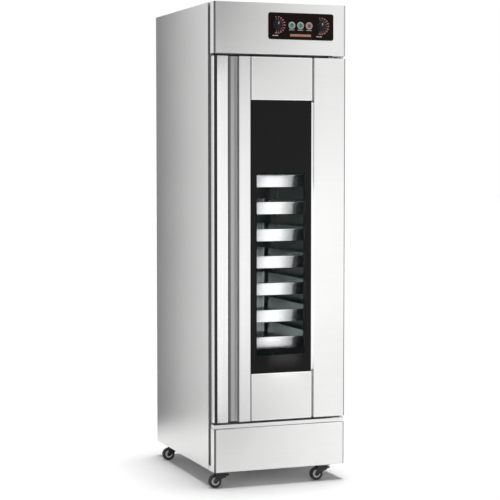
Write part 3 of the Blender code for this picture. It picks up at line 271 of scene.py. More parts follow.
def window_brightness(tree, x_share, z_share):
    across = ramp(tree, x_share, stops_between(WINDOW_CARD_X, WINDOW_ACROSS))
    return maths(tree, "MULTIPLY", across, WINDOW_LEVEL)


def strip_brightness(tree, x_share, z_share):
    return maths(tree, "MULTIPLY_ADD", x_share, -STRIP_LEVEL / 4, STRIP_LEVEL)


def make_sun(name, direction, strength, angle):
    """A soft sun that lights the object but isn't seen in its reflections."""
    data = bpy.data.lights.new(name, "SUN")
    data.energy = strength
    data.angle = math.radians(angle)
    sun = bpy.data.objects.new(name, data)
    sun.visible_glossy = False
    sun.rotation_mode = "QUATERNION"
    sun.rotation_quaternion = Vector(direction).to_track_quat("-Z", "Y")
    bpy.context.scene.collection.objects.link(sun)


def make_floor():
    """A pale floor, white where nothing shades it."""
    reach = FLOOR_REACH
    mesh = bpy.data.meshes.new("floor")
    mesh.from_pydata([(-reach, -reach, 0), (reach, -reach, 0), (reach, reach, 0),
                      (-reach, reach, 0)], [], [(0, 1, 2, 3)])
    floor = bpy.data.objects.new("floor", mesh)
    bpy.context.scene.collection.objects.link(floor)
    material = bpy.data.materials.new("floor")
    material.use_nodes = True
    tree = material.node_tree
    shader = tree.nodes["Principled BSDF"]
    shader.inputs["Roughness"].default_value = 0.9
    shader.inputs["Specular IOR Level"].default_value = 0.0
    path = tree.nodes.new("ShaderNodeLightPath")
    link(tree, ramp(tree, sees_background(tree, path), ((0.0, FLOOR_BOUNCE), (1.0, 1.0))),
         shader.inputs["Base Color"])
    mesh.materials.append(material)


# Materials

def surface(name, colour, roughness, metallic=0.0, grain=(60.0, 60.0, 60.0), spread=0.05,
            tint=0.03, bump=0.1, depth=0.0002, **sockets):
    """A Principled material whose roughness, tone and relief follow a fine noise."""
    material = bpy.data.materials.new(name)
    material.use_nodes = True
    tree = material.node_tree
    shader = tree.nodes["Principled BSDF"]
    shader.inputs["Metallic"].default_value = metallic
    for key, value in sockets.items():
        shader.inputs[key.replace("_", " ")].default_value = value
    place = tree.nodes.new("ShaderNodeTexCoord")
    mapping = tree.nodes.new("ShaderNodeMapping")
    mapping.inputs["Scale"].default_value = grain
    link(tree, place.outputs["Object"], mapping.inputs["Vector"])
    fine = node(tree, "ShaderNodeTexNoise", Scale=1.0, Detail=6.0, Roughness=0.65)
    link(tree, mapping.outputs["Vector"], fine.inputs["Vector"])
    broad = node(tree, "ShaderNodeTexNoise", Scale=3.0, Detail=3.0)
    link(tree, place.outputs["Object"], broad.inputs["Vector"])
    both = maths(tree, "MULTIPLY_ADD", broad.outputs["Fac"], 0.35,
                 maths(tree, "MULTIPLY", fine.outputs["Fac"], 0.65))
    rough = maths(tree, "MULTIPLY_ADD", both, 2 * spread, roughness - spread)
    link(tree, rough, shader.inputs["Roughness"])
    dark = tuple(channel * (1 - tint) for channel in colour)
    light = tuple(min(1.0, channel * (1 + tint)) for channel in colour)
    link(tree, ramp(tree, both, ((0.3, dark), (0.7, light))), shader.inputs["Base Color"])
    if bump:
        relief = node(tree, "ShaderNodeBump", Strength=bump, Distance=depth)
        link(tree, fine.outputs["Fac"], relief.inputs["Height"])
        link(tree, relief.outputs["Normal"], shader.inputs["Normal"])
    return material


def brushed(name, colour, roughness, along, anisotropic=0.6, tint=0.03):
    """Brushed metal, with its grain along one axis."""
    grain = [900.0, 900.0, 900.0]
    grain["XYZ".index(along)] = 4.0
    material = surface(name, colour, roughness, 1.0, tuple(grain), 0.07, tint, 0.06, 0.00008,
                       Anisotropic=anisotropic)
    tree = material.node_tree
    tangent = node(tree, "ShaderNodeTangent", direction_type="RADIAL",
                   axis="Z" if along != "Z" else "X")
    link(tree, tangent.outputs[0], tree.nodes["Principled BSDF"].inputs["Tangent"])
    tree.nodes["Principled BSDF"].inputs["Anisotropic Rotation"].default_value = 0.25
    return material


# Painted shade across the grip's groove: dark under the lip, lighter towards its open side
GROOVE_PAINTED_SHADE = ((0.0, 0.10), (0.34, 0.13), (0.48, 0.44), (0.80, 0.52), (1.0, 0.60))


def groove_painted_shade():
    """Satin steel with painted shade, darker under the lip than at the groove's open side."""
    low, high = corners_of("door_handle_profile")
    material = brushed("groove_painted_shade", (0.5, 0.5, 0.5), 0.42, "Z", 0.3)
    tree = material.node_tree
    shader = tree.nodes["Principled BSDF"]
    place = tree.nodes.new("ShaderNodeTexCoord")
    split = tree.nodes.new("ShaderNodeSeparateXYZ")
    link(tree, place.outputs["Object"], split.inputs[0])
    across = share_of(tree, split.outputs["X"], (low.x + LIP_END, high.x))
    shade = ramp(tree, across, GROOVE_PAINTED_SHADE)
    link(tree, shade, shader.inputs["Base Color"])
    return material


def make_materials():
    """Every finish, by its slot in the record or by the scene's own name for it."""
    return {
        "brushed_steel": brushed("brushed_steel", (0.78, 0.78, 0.775), 0.30, "X"),
        "strip_steel": brushed("strip_steel", (0.82, 0.82, 0.815), 0.24, "Z"),
        # Painted shade for the dark lines along bends and edges, in near-black, grey and pale grey
        "bend_painted_shade": brushed("bend_painted_shade", (0.035, 0.035, 0.035), 0.34, "Z"),
        "grey_painted_shade": brushed("grey_painted_shade", (0.13, 0.13, 0.13), 0.34, "Z"),
        "pale_painted_shade": brushed("pale_painted_shade", (0.40, 0.40, 0.40), 0.34, "Z"),
        # Painted shadow for the strips at the centre panels' left edges
        "panel_shadow": brushed("panel_shadow", (0.20, 0.20, 0.20), 0.40, "Z"),
        "knob_plastic": surface("knob_plastic", (0.008, 0.009, 0.014), 0.40, 0.0,
                                (500.0,) * 3, 0.08, 0.10, 0.15, Specular_IOR_Level=0.25),
        "panel_steel": brushed("panel_steel", (0.80, 0.82, 0.81), 0.20, "Z"),
        "steel_side": brushed("steel_side", (0.76, 0.76, 0.755), 0.30, "Y"),
        "centre_steel": brushed("centre_steel", (0.76, 0.76, 0.755), 0.24, "X"),
        # Painted highlight: a brighter, smoother copy of the steel for strips where highlight lines
        # fall
        "painted_highlight_steel": surface("painted_highlight_steel", (0.88, 0.88, 0.88), 0.16, 1.0,
                                  (40.0, 40.0, 40.0), 0.04, 0.02, 0.02),
        "groove_painted_shade": groove_painted_shade(),
        # Painted shade for the strips on the neck's recessed sides
        "neck_painted_shade": surface("neck_painted_shade", (0.07, 0.07, 0.072), 0.5, 0.0, (300.0,) * 3,
                                0.05, 0.1, 0.1),
        "scale_print": surface("scale_print", (0.78, 0.38, 0.32), 0.5, 0.0, (300.0,) * 3, 0.05,
                               0.06, 0.0),
        "pale_print": surface("pale_print", (0.80, 0.84, 0.84), 0.5, 0.0, (300.0,) * 3, 0.05,
                              0.06, 0.0),
        "copper_print": surface("copper_print", (0.62, 0.30, 0.19), 0.4, 0.2, (300.0,) * 3,
                                0.05, 0.15, 0.0),
        "hub_dark": surface("hub_dark", (0.03, 0.03, 0.03), 0.35, 0.0, (200.0,) * 3, 0.05,
                            0.1, 0.1),
        # Darker than the outer steel, as painted shade of the closed chamber, with a green tint
        "liner_steel": brushed("liner_steel", (0.42, 0.44, 0.43), 0.30, "Y", 0.4),
        "tray_aluminium": surface("tray_aluminium", (0.80, 0.82, 0.83), 0.17, 1.0,
                                  (30.0, 30.0, 400.0), 0.04, 0.05, 0.03),
        "zinc_plate": surface("zinc_plate", (0.52, 0.52, 0.50), 0.40, 1.0, (150.0,) * 3, 0.10,
                              0.12),
        "insulation": surface("insulation", (0.72, 0.66, 0.48), 0.95, 0.0, (400.0,) * 3, 0.03,
                              0.15, 0.8, 0.002),
        "black_glass": surface("black_glass", (0.008, 0.008, 0.008), 0.06, 0.0, (40.0,) * 3,
                               0.02, 0.05, 0.0, Specular_IOR_Level=0.14),
        "window_glass": surface("window_glass", (0.003, 0.014, 0.012), 0.05, 0.0, (40.0,) * 3,
                                0.02, 0.05, 0.0, Specular_IOR_Level=0.05, Alpha=0.20),
        "gasket_rubber": surface("gasket_rubber", (0.03, 0.03, 0.03), 0.65, 0.0, (200.0,) * 3,
                                 0.08, 0.15, 0.2),
        "black_plastic": surface("black_plastic", (0.020, 0.020, 0.022), 0.36, 0.0,
                                 (500.0,) * 3, 0.08, 0.10, 0.15),
        "faceplate_print": surface("faceplate_print", (0.014, 0.005, 0.005), 0.22, 0.0,
                                   (300.0,) * 3, 0.04, 0.10, 0.04,
                                   Specular_IOR_Level=0.08),
        "plate_dark": surface("plate_dark", (0.09, 0.09, 0.09), 0.40, 0.6, (150.0,) * 3,
                              0.08, 0.12),
        "green_ring": surface("green_ring", (0.34, 0.55, 0.42), 0.20, 0.0, (200.0,) * 3,
                              0.04, 0.06, 0.0),
        "red_ring": surface("red_ring", (0.62, 0.36, 0.42), 0.20, 0.0, (200.0,) * 3, 0.04,
                            0.06, 0.0),
        "collar_plastic": surface("collar_plastic", (0.60, 0.64, 0.61), 0.30, 0.0,
                                  (200.0,) * 3, 0.05, 0.04, 0.05),
        "green_lens": surface("green_lens", (0.02, 0.30, 0.14), 0.18, 0.0, (200.0,) * 3,
                              0.04, 0.10, 0.05, Coat_Weight=0.5),
        "red_lens": surface("red_lens", (0.42, 0.02, 0.05), 0.18, 0.0, (200.0,) * 3, 0.04,
                            0.10, 0.05, Coat_Weight=0.5),
        "lamp_glass": surface("lamp_glass", (0.90, 0.94, 0.92), 0.25, 0.0, (80.0,) * 3, 0.05,
                              0.02, 0.0, Emission_Color=(0.85, 1.0, 0.96, 1.0),
                              Emission_Strength=2.0),
        "heater_sheath": surface("heater_sheath", (0.28, 0.25, 0.23), 0.42, 1.0, (120.0,) * 3,
                                 0.10, 0.20, 0.1),
        "black_steel": surface("black_steel", (0.022, 0.022, 0.023), 0.38, 0.4, (300.0,) * 3,
                               0.08, 0.15, 0.15),
        "wheel_hub": surface("wheel_hub", (0.92, 0.92, 0.91), 0.24, 0.0, (200.0,) * 3, 0.06,
                             0.04, 0.05),
        "tyre_rubber": surface("tyre_rubber", (0.018, 0.018, 0.019), 0.60, 0.0, (250.0,) * 3,
                               0.08, 0.20, 0.2),
    }


# Pieces

def from_bmesh(name, build):
    mesh = bpy.data.meshes.new(name)
    bmesh.ops.recalc_face_normals(build, faces=build.faces)
    build.to_mesh(mesh)
    build.free()
    piece = bpy.data.objects.new(name, mesh)
    bpy.context.scene.collection.objects.link(piece)
    return piece


def soften(piece, width, segments=2, angle=30.0):
    """Round a piece's sharp edges and shade it smooth."""
    piece.data.shade_smooth()
    bevel = piece.modifiers.new("edges", "BEVEL")
    bevel.width = width
    bevel.segments = segments
    bevel.limit_method = "ANGLE"
    bevel.angle_limit = math.radians(angle)
    normals = piece.modifiers.new("flat_faces", "WEIGHTED_NORMAL")
    normals.weight = 100
    normals.keep_sharp = True
    return piece


def dress(piece, body, slot_name, material=None):
    """Give a piece its finish and the body that it rides on."""
    piece.data.materials.clear()
    piece.data.materials.append(material or MATERIALS[slot_name])
    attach(piece, body)
    return piece


def refined(name, width=SHEET_EDGE, segments=2, material=None):
    """A piece with a CAD node's shape and softened edges, which stands for that node."""
    build = bmesh.new()
    build.from_mesh(NODES[name].data)
    bmesh.ops.remove_doubles(build, verts=build.verts, dist=WELD)
    bmesh.ops.dissolve_limit(build, angle_limit=math.radians(0.5), verts=build.verts,
                             edges=build.edges)
    piece = soften(from_bmesh(name + "_piece", build), width, segments)
    dress(piece, BODY_OF[name], SLOT_OF[name], material)
    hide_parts(name)
    return piece


# Tilts of the bend faces that take the painted shade
BEND_TILTS = (4.0, 56.0)
HANDLE_BEND = 0.012
BODY_BEND = 0.008


def paint_bend_shade(piece, side, within, material):
    """Paint the outer bend on one side of a piece darker, as painted shade for its dark line."""
    mesh = piece.data
    mesh.materials.append(MATERIALS[material])
    edge = side * max(side * point.co.x for point in mesh.vertices)
    for face in mesh.polygons:
        tilt = math.degrees(math.atan2(side * face.normal.x, -face.normal.y))
        near = abs(face.center.x - edge) < within
        if near and BEND_TILTS[0] < tilt < BEND_TILTS[1] and abs(face.normal.z) < 0.1:
            face.material_index = len(mesh.materials) - 1
    return piece


def repaint(name):
    """Keep a CAD node's shape, with the scene's own material."""
    for place in NODES[name].material_slots:
        place.material = MATERIALS[SLOT_OF[name]]


def corners_of(name):
    """A CAD node's lowest and highest corner."""
    return BOXES[name]


def arc(centre, radius, start, end, steps=6):
    """Points along an arc, from one angle to another in degrees."""
    points = []
    for step in range(steps + 1):
        angle = math.radians(start + (end - start) * step / steps)
        points.append((centre[0] + radius * math.cos(angle),
                       centre[1] + radius * math.sin(angle)))
    return points


def rounded_rectangle(low, high, radius, steps=6):
    """A rectangle's outline with round corners, anticlockwise."""
    points = []
    for x, z, start in ((high[0] - radius, high[1] - radius, 0),
                        (low[0] + radius, high[1] - radius, 90),
                        (low[0] + radius, low[1] + radius, 180),
                        (high[0] - radius, low[1] + radius, 270)):
        points += arc((x, z), radius, start, start + 90, steps)
    return points


def on_axis(axis, first, second, along):
    """A point from its two places across an axis and its place along it."""
    if axis == "X":
        return Vector((along, first, second))
    if axis == "Y":
        return Vector((first, along, second))
    return Vector((first, second, along))


def add_prism(build, axis, outline, start, end, hole=None):
    """A solid with an outline across an axis, and a hole of as many points if it has one."""
    def ring(points, along):
        return [build.verts.new(on_axis(axis, *point, along)) for point in points]

    near, far = ring(outline, start), ring(outline, end)
    count = len(outline)
    if hole:
        near_hole, far_hole = ring(hole, start), ring(hole, end)
    for k in range(count):
        n = (k + 1) % count
        build.faces.new((near[k], near[n], far[n], far[k]))
        if hole:
            build.faces.new((near_hole[n], near_hole[k], far_hole[k], far_hole[n]))
            build.faces.new((near[n], near[k], near_hole[k], near_hole[n]))
            build.faces.new((far[k], far[n], far_hole[n], far_hole[k]))
    if not hole:
        build.faces.new(reversed(near))
        build.faces.new(far)


def add_box(build, low, high):
    add_prism(build, "Z", [(low[0], low[1]), (high[0], low[1]), (high[0], high[1]),
                           (low[0], high[1])], low[2], high[2])


def add_turned(build, profile, place, direction, steps=48, flutes=0, flute_depth=0.0):
    """A solid turned round an axis, from its (radius, distance) points.

    Flutes are cut into the points that have a third value, their share of the full depth.
    """
    turn = Vector(direction).to_track_quat("Z", "Y").to_matrix()
    rings = []
    for radius, along, *share in profile:
        depth = flute_depth * share[0] if share else 0.0
        ring = []
        for step in range(steps):
            angle = 2 * math.pi * step / steps
            reach = radius - depth * (0.5 - 0.5 * math.cos(flutes * angle))
            point = Vector((reach * math.cos(angle), reach * math.sin(angle), along))
            ring.append(build.verts.new(Vector(place) + turn @ point))
        rings.append(ring)
    for near, far in zip(rings, rings[1:]):
        for k in range(steps):
            n = (k + 1) % steps
            build.faces.new((near[k], near[n], far[n], far[k]))
    build.faces.new(reversed(rings[0]))
    build.faces.new(rings[-1])


def add_screw(build, place, direction, radius=0.0035, rise=0.0014):
    """A pan-head screw with a cross recess, seated at a place and facing a direction."""
    turn = Vector(direction).to_track_quat("Z", "Y").to_matrix()
    slot, reach = radius * 0.16, radius * 0.55
    profile = [(radius, 0.0), (radius, rise * 0.35), (radius * 0.8, rise * 0.8),
               (radius * 0.62, rise)]
    add_turned(build, profile, place, direction, 24)
    cross = [(slot, slot), (reach, slot), (reach, -slot), (slot, -slot), (slot, -reach),
             (-slot, -reach), (-slot, -slot), (-reach, -slot), (-reach, slot), (-slot, slot),
             (-slot, reach), (slot, reach)]
    low, high = rise * 1.01, rise * 1.08
    rings = [[build.verts.new(Vector(place) + turn @ Vector((x, y, z))) for x, y in cross]
             for z in (low, high)]
    for k in range(len(cross)):
        n = (k + 1) % len(cross)
        build.faces.new((rings[0][k], rings[0][n], rings[1][n], rings[1][k]))
    build.faces.new(reversed(rings[0]))
    build.faces.new(rings[1])


def add_text(build, words, place, height, depth):
    """Plain figures that face the front, centred on a place."""
    curve = bpy.data.curves.new("figures", "FONT")
    curve.body = words
    curve.size = height
    curve.align_x = "CENTER"
    curve.align_y = "CENTER"
    curve.extrude = depth / 2
    curve.offset = FIGURE_WEIGHT
    curve.resolution_u = 2
    source = bpy.data.objects.new("figures", curve)
    mesh = bpy.data.meshes.new_from_object(source)
    mesh.transform(Matrix.Translation(place) @ Matrix.Rotation(math.radians(90), 4, "X"))
    build.from_mesh(mesh)
    bpy.data.objects.remove(source)
    bpy.data.curves.remove(curve)
    bpy.data.meshes.remove(mesh)


def piece_of(name, build, body, slot_name, material=None, edge=0.0, replaced=()):
    """A finished piece from a bmesh, which stands for the CAD nodes that it replaces."""
    piece = from_bmesh(name, build)
    if edge:
        soften(piece, edge)
    else:
        piece.data.shade_smooth()
        piece.data.set_sharp_from_angle(angle=math.radians(35))
    dress(piece, body, slot_name, material)
    if replaced:
        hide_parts(*replaced)
    return piece


# Door

# The grip's groove, as the CAD profile has it
LIP_END = 0.056
LIP_THICKNESS = 0.009
UNDERCUT = 0.026
GROOVE_DEPTH = 0.024
GROOVE_RISE = 0.008
GROOVE_WALL = 0.0023
LINING_GAP = 0.0002
LINING = 0.0005

# The printed border round the clear window
PRINT_LEFT = 0.0260
PRINT_RIGHT = 0.0236
PRINT_LOW = 0.0690
PRINT_HIGH = 0.2775
PRINT_RADIUS = 0.004
PANE_FIT = 0.0001
GLASS_EDGE_RADIUS = 0.0005


def make_glass():
    """The door glass: a black printed border round a clear window."""
    low, high = corners_of("door_glass")
    window_low = (low.x + PRINT_LEFT, low.z + PRINT_LOW)
    window_high = (high.x - PRINT_RIGHT, high.z - PRINT_HIGH)
    outer = rounded_rectangle((low.x, low.z), (high.x, high.z), GLASS_EDGE_RADIUS)
    border = bmesh.new()
    add_prism(border, "Y", outer, low.y, high.y,
              rounded_rectangle(window_low, window_high, PRINT_RADIUS))
    piece_of("glass_printed_border", border, "door", "black_glass", replaced=["door_glass"])
    pane = bmesh.new()
    fit_low = [place + PANE_FIT for place in window_low]
    fit_high = [place - PANE_FIT for place in window_high]
    add_prism(pane, "Y", rounded_rectangle(fit_low, fit_high, PRINT_RADIUS),
              low.y + PANE_FIT, high.y - PANE_FIT)
    piece_of("glass_window", pane, "door", "black_glass", MATERIALS["window_glass"])


# Width of the painted shadow strip at each centre panel's left edge
SHADOW_STRIP = 0.0045
STRIP_PROUD = 0.0004
BEAD_WIDTH = 0.0032
BEAD_RISE = 0.0006
BEAD_INSET = 0.0012


# The window cut in the door's inner panel
WINDOW_X = (-0.102, 0.110)
WINDOW_Z = (0.494, 1.207)
SPACER = 0.0016


def make_window_seal():
    """A black spacer that lines the inner panel's window behind the glass."""
    back = corners_of("door_inner_panel")[1].y
    frame_low, frame_high = (WINDOW_X[0], WINDOW_Z[0]), (WINDOW_X[1], WINDOW_Z[1])
    fit_low = [place + LINING_GAP for place in frame_low]
    fit_high = [place - LINING_GAP for place in frame_high]
    inner_low = [place + SPACER for place in fit_low]
    inner_high = [place - SPACER for place in fit_high]
    spacer = bmesh.new()
    add_prism(spacer, "Y", rounded_rectangle(fit_low, fit_high, SPACER / 2),
              corners_of("door_glass")[1].y + LINING_GAP, back - LINING_GAP,
              rounded_rectangle(inner_low, inner_high, SPACER / 2))
    piece_of("window_spacer", spacer, "door", "gasket_rubber")


def make_panel_beads():
    """A bright bead round each of the two short centre panels, a painted highlight, with a strip of
    painted shadow at each panel's left edge.
    """
    for name in ("door_top_panel", "door_bottom_panel"):
        low, high = corners_of(name)
        # A strip of painted shadow along the panel's left edge
        shadow = bmesh.new()
        add_box(shadow, (low.x + BEAD_INSET / 4, low.y - STRIP_PROUD, low.z + BEAD_INSET),
                (low.x + SHADOW_STRIP, low.y + STRIP_PROUD, high.z - BEAD_INSET))
        piece_of(name + "_edge", shadow, "door", "brushed_steel", MATERIALS["panel_shadow"],
                 edge=STRIP_PROUD / 3)
        outer_low = (low.x + SHADOW_STRIP + STRIP_PROUD, low.z + BEAD_INSET)
        outer_high = (high.x - BEAD_INSET, high.z - BEAD_INSET)
        inner_low = [place + BEAD_WIDTH for place in outer_low]
        inner_high = [place - BEAD_WIDTH for place in outer_high]
        bead = bmesh.new()
        add_prism(bead, "Y", rounded_rectangle(outer_low, outer_high, BEAD_WIDTH, 3),
                  low.y - BEAD_RISE, low.y + BEAD_RISE / 2,
                  rounded_rectangle(inner_low, inner_high, BEAD_RISE, 3))
        piece_of(name + "_bead", bead, "door", "brushed_steel", MATERIALS["painted_highlight_steel"],
                 edge=BEAD_RISE / 3)


# Bright hems and grip strips stand in for highlight lines, as painted highlight
HEM_HEIGHT = 0.0028
HEM_INSET = 0.0005
EDGE_STRIP = 0.0034
GRIP_HIGHLIGHT_LEFT = 0.0095
GRIP_HIGHLIGHT_RIGHT = 0.0030
GRIP_HIGHLIGHT_INSET = 0.0045


def make_edge_strips():
    """Bright hems on the header and kick panel and two bright strips on the grip, painted
    highlights, and dark strips on the door's edges, painted shade.
    """
    for name in ("header_panel", "lower_front_panel"):
        low, high = corners_of(name)
        base = low.z + HEM_INSET if name == "header_panel" else high.z - HEM_INSET - HEM_HEIGHT
        hem = bmesh.new()
        add_box(hem, (low.x + BODY_BEND, low.y - STRIP_PROUD, base),
                (high.x - BODY_BEND, low.y + STRIP_PROUD, base + HEM_HEIGHT))
        piece_of(name + "_hem", hem, "cabinet", "brushed_steel", MATERIALS["painted_highlight_steel"],
                 edge=STRIP_PROUD / 2)
    low, high = corners_of("door_right_stile")
    handle_low, handle_high = corners_of("door_handle_profile")
    flat_left, lip = handle_low.x + HANDLE_BEND, handle_low.x + LIP_END
    # The hinge edge and the groove's rim get painted shade, the grip's two strips a painted
    # highlight
    for name, left, right, material in (
            ("hinge_edge", high.x - EDGE_STRIP, high.x - HEM_INSET, "grey_painted_shade"),
            ("groove_rim", handle_high.x - GROOVE_WALL, handle_high.x, "grey_painted_shade"),
            ("grip_left_highlight", flat_left, flat_left + GRIP_HIGHLIGHT_LEFT, "painted_highlight_steel"),
            ("grip_right_highlight", lip - GRIP_HIGHLIGHT_RIGHT - GRIP_HIGHLIGHT_INSET, lip - GRIP_HIGHLIGHT_INSET,
             "painted_highlight_steel")):
        strip = bmesh.new()
        add_box(strip, (left, low.y - STRIP_PROUD, low.z + HEM_INSET),
                (right, low.y + STRIP_PROUD, high.z - HEM_INSET))
        piece_of(name, strip, "door", "brushed_steel", MATERIALS[material],
                 edge=STRIP_PROUD / 3)


def finish_sill(liner):
    """Give the tank's sill, in front of the neck, the front's brushed finish."""
    mesh = liner.data
    mesh.materials.append(MATERIALS["brushed_steel"])
    front = corners_of("header_panel")[0].y + FRONT_BOX_DEPTH
    for face in mesh.polygons:
        if face.center.y < front - SEAL_MARGIN:
            face.material_index = 1


def make_groove_lining():
    """A satin lining in the grip's groove, from the undercut to the groove's right wall, which
    carries the groove's painted shade.
    """
    low, high = corners_of("door_handle_profile")
    left = low.x + LIP_END - UNDERCUT
    wall = high.x - GROOVE_WALL
    floor = low.y + GROOVE_DEPTH
    inset = LINING_GAP
    outer = arc((left + GROOVE_RISE, floor - GROOVE_RISE), GROOVE_RISE - inset, 180, 90)
    outer += [(wall - GROOVE_RISE, floor - inset), (wall - inset, floor - GROOVE_RISE),
              (wall - inset, low.y + LIP_THICKNESS / 4)]
    inset = LINING_GAP + LINING
    inner = arc((left + GROOVE_RISE, floor - GROOVE_RISE), GROOVE_RISE - inset, 180, 90)
    inner += [(wall - GROOVE_RISE, floor - inset), (wall - inset, floor - GROOVE_RISE - LINING / 2),
              (wall - inset, low.y + LIP_THICKNESS / 4)]
    lining = bmesh.new()
    add_prism(lining, "Z", outer + inner[::-1], low.z + LINING, high.z - LINING)
    piece_of("groove_lining", lining, "door", "brushed_steel", MATERIALS["groove_painted_shade"])


# Body trim

NECK_SETBACK = 0.008
NECK_DEPTH = 0.028
FRONT_BOX_DEPTH = 0.038
DOOR_GAP_BOTTOM = 0.009
STRIP_RISE = 0.0015
SEAL_RISE = 0.0013
SEAL_MARGIN = 0.0005


def make_neck_trim():
    """Dark strips on the recessed neck's sides, a painted shade of the recess, and black seals in
    the gaps over and under the door, which also stand in for the gaps' shade.
    """
    neck_side = corners_of("left_side_panel")[0].x + NECK_SETBACK
    neck_front = corners_of("header_panel")[0].y + FRONT_BOX_DEPTH
    neck_back = neck_front + NECK_DEPTH - SEAL_RISE
    low_z, high_z = corners_of("base_pan")[0].z + STRIP_RISE * 2, corners_of("inner_liner")[1].z
    # Painted shade: dark strips on the neck's sides, where the recess lies in shade
    for side, name in ((-1, "left"), (1, "right")):
        strip = bmesh.new()
        faces = sorted((side * -neck_side, side * (-neck_side + STRIP_RISE)))
        add_box(strip, (faces[0], neck_front + SEAL_MARGIN, low_z), (faces[1], neck_back, high_z))
        piece_of("neck_shade_strip_" + name, strip, "cabinet", "black_plastic",
                 MATERIALS["neck_painted_shade"], edge=SHEET_EDGE)
    door_low, door_high = corners_of("door_inner_panel")
    sill_top = door_low.z - DOOR_GAP_BOTTOM
    header_low = corners_of("header_panel")[0].z
    # Black seals in the door's gaps, also standing in for the shade in those gaps
    for name, start, end, bracket in (("top", door_high.z, header_low, "hinge_bracket_top"),
                                      ("bottom", sill_top, door_low.z, "hinge_bracket_bottom")):
        seal = bmesh.new()
        right = corners_of(bracket)[0].x - STRIP_RISE
        add_box(seal, (neck_side + STRIP_RISE, neck_front - SEAL_RISE, start + SEAL_MARGIN),
                (right, neck_front - LINING_GAP, end - SEAL_MARGIN))
        piece_of("gap_shade_seal_" + name, seal, "cabinet", "gasket_rubber", edge=SHEET_EDGE)


REAR_SCREW_INSET = 0.012
REAR_SCREW_ROWS = 9
ROOF_SCREW_INSET = 0.010
ROOF_SCREWS = 4


def make_screws():
    """Screws down the rear panel's edges and along the roof's."""
    low, high = corners_of("rear_panel")
    screws = bmesh.new()
    for row in range(REAR_SCREW_ROWS):
        z = low.z + REAR_SCREW_INSET * 2 + (high.z - low.z - REAR_SCREW_INSET * 4) * (
            row / (REAR_SCREW_ROWS - 1))
        for x in (low.x + REAR_SCREW_INSET, high.x - REAR_SCREW_INSET):
            add_screw(screws, (x, high.y, z), (0, 1, 0))
    piece_of("rear_screws", screws, "cabinet", "zinc_plate")
    low, high = corners_of("top_panel")
    screws = bmesh.new()
    for step in range(ROOF_SCREWS):
        y = low.y + REAR_SCREW_INSET * 2 + (high.y - low.y - REAR_SCREW_INSET * 4) * (
            step / (ROOF_SCREWS - 1))
        for x in (low.x + ROOF_SCREW_INSET, high.x - ROOF_SCREW_INSET):
            add_screw(screws, (x, y, high.z), (0, 0, 1))
    piece_of("roof_screws", screws, "cabinet", "zinc_plate")


# Controls

KNOB_FLUTES = 24
FLUTE_DEPTH = 0.0007
TICK_START = -10
TICK_STEP = 20
TICK_COUNT = 11
TICK_INNER = 0.0205
TICK_OUTER = 0.0255
TICK_WIDTH = 0.0015
FIGURE_RADIUS = 0.0305
FIGURE_HEIGHT = 0.0072
FIGURE_WEIGHT = 0.0002
FIGURE_STEP = 10
PRINT_DEPTH = 0.00012
KNOB_LABEL_DROP = 0.0400
KNOB_LABEL_HEIGHT = 0.0034
KNOB_LABEL_PARTS = ((-0.0160, 0.0065), (-0.0085, 0.0055), (-0.0005, 0.0075))
BUTTON_LABEL_DROP = 0.0172
BUTTON_LABEL = (0.0225, 0.0021)
METER_DROP = 0.0373
METER_SIZE = (0.0860, 0.0085)
METER_CELLS = 14
METER_RIM = 0.0008


def front_mark(build, centre, width, height, turn=0.0):
    """A flat printed mark on the faceplate, turned clockwise by an angle in degrees."""
    corners = [(-width / 2, -height / 2), (width / 2, -height / 2), (width / 2, height / 2),
               (-width / 2, height / 2)]
    angle = math.radians(-turn)
    outline = [(centre[0] + x * math.cos(angle) - z * math.sin(angle),
                centre[1] + x * math.sin(angle) + z * math.cos(angle)) for x, z in corners]
    face = corners_of("control_faceplate")[0].y
    add_prism(build, "Y", outline, face - PRINT_DEPTH, face)


def knob_places():
    """Where the two knobs stand on the faceplate."""
    places = {}
    for name in ("temperature_knob", "humidity_knob"):
        low, high = corners_of(name)
        places[name] = ((low.x + high.x) / 2, KNOB_ROW)
    return places


def make_dials():
    """The printed scales round the knobs and the pale marks under them and the buttons."""
    face = corners_of("control_faceplate")[0].y
    scales, labels = bmesh.new(), bmesh.new()
    for x, z in knob_places().values():
        for tick in range(TICK_COUNT):
            turn = TICK_START + TICK_STEP * tick
            across, up = math.sin(math.radians(turn)), math.cos(math.radians(turn))
            reach = (TICK_INNER + TICK_OUTER) / 2
            front_mark(scales, (x + across * reach, z + up * reach), TICK_WIDTH,
                       TICK_OUTER - TICK_INNER, turn)
            add_text(scales, str(tick * FIGURE_STEP),
                     (x + across * FIGURE_RADIUS, face, z + up * FIGURE_RADIUS),
                     FIGURE_HEIGHT, PRINT_DEPTH * 2)
        for offset, width in KNOB_LABEL_PARTS:
            front_mark(labels, (x + offset, z - KNOB_LABEL_DROP), width, KNOB_LABEL_HEIGHT)
    for name in ("power_button", "humidifier_button", "lamp_button"):
        low, high = corners_of(name)
        front_mark(labels, ((low.x + high.x) / 2, KNOB_ROW - BUTTON_LABEL_DROP), *BUTTON_LABEL)
    piece_of("dial_scales", scales, "cabinet", "faceplate_print", MATERIALS["scale_print"])
    piece_of("pale_marks", labels, "cabinet", "faceplate_print", MATERIALS["pale_print"])


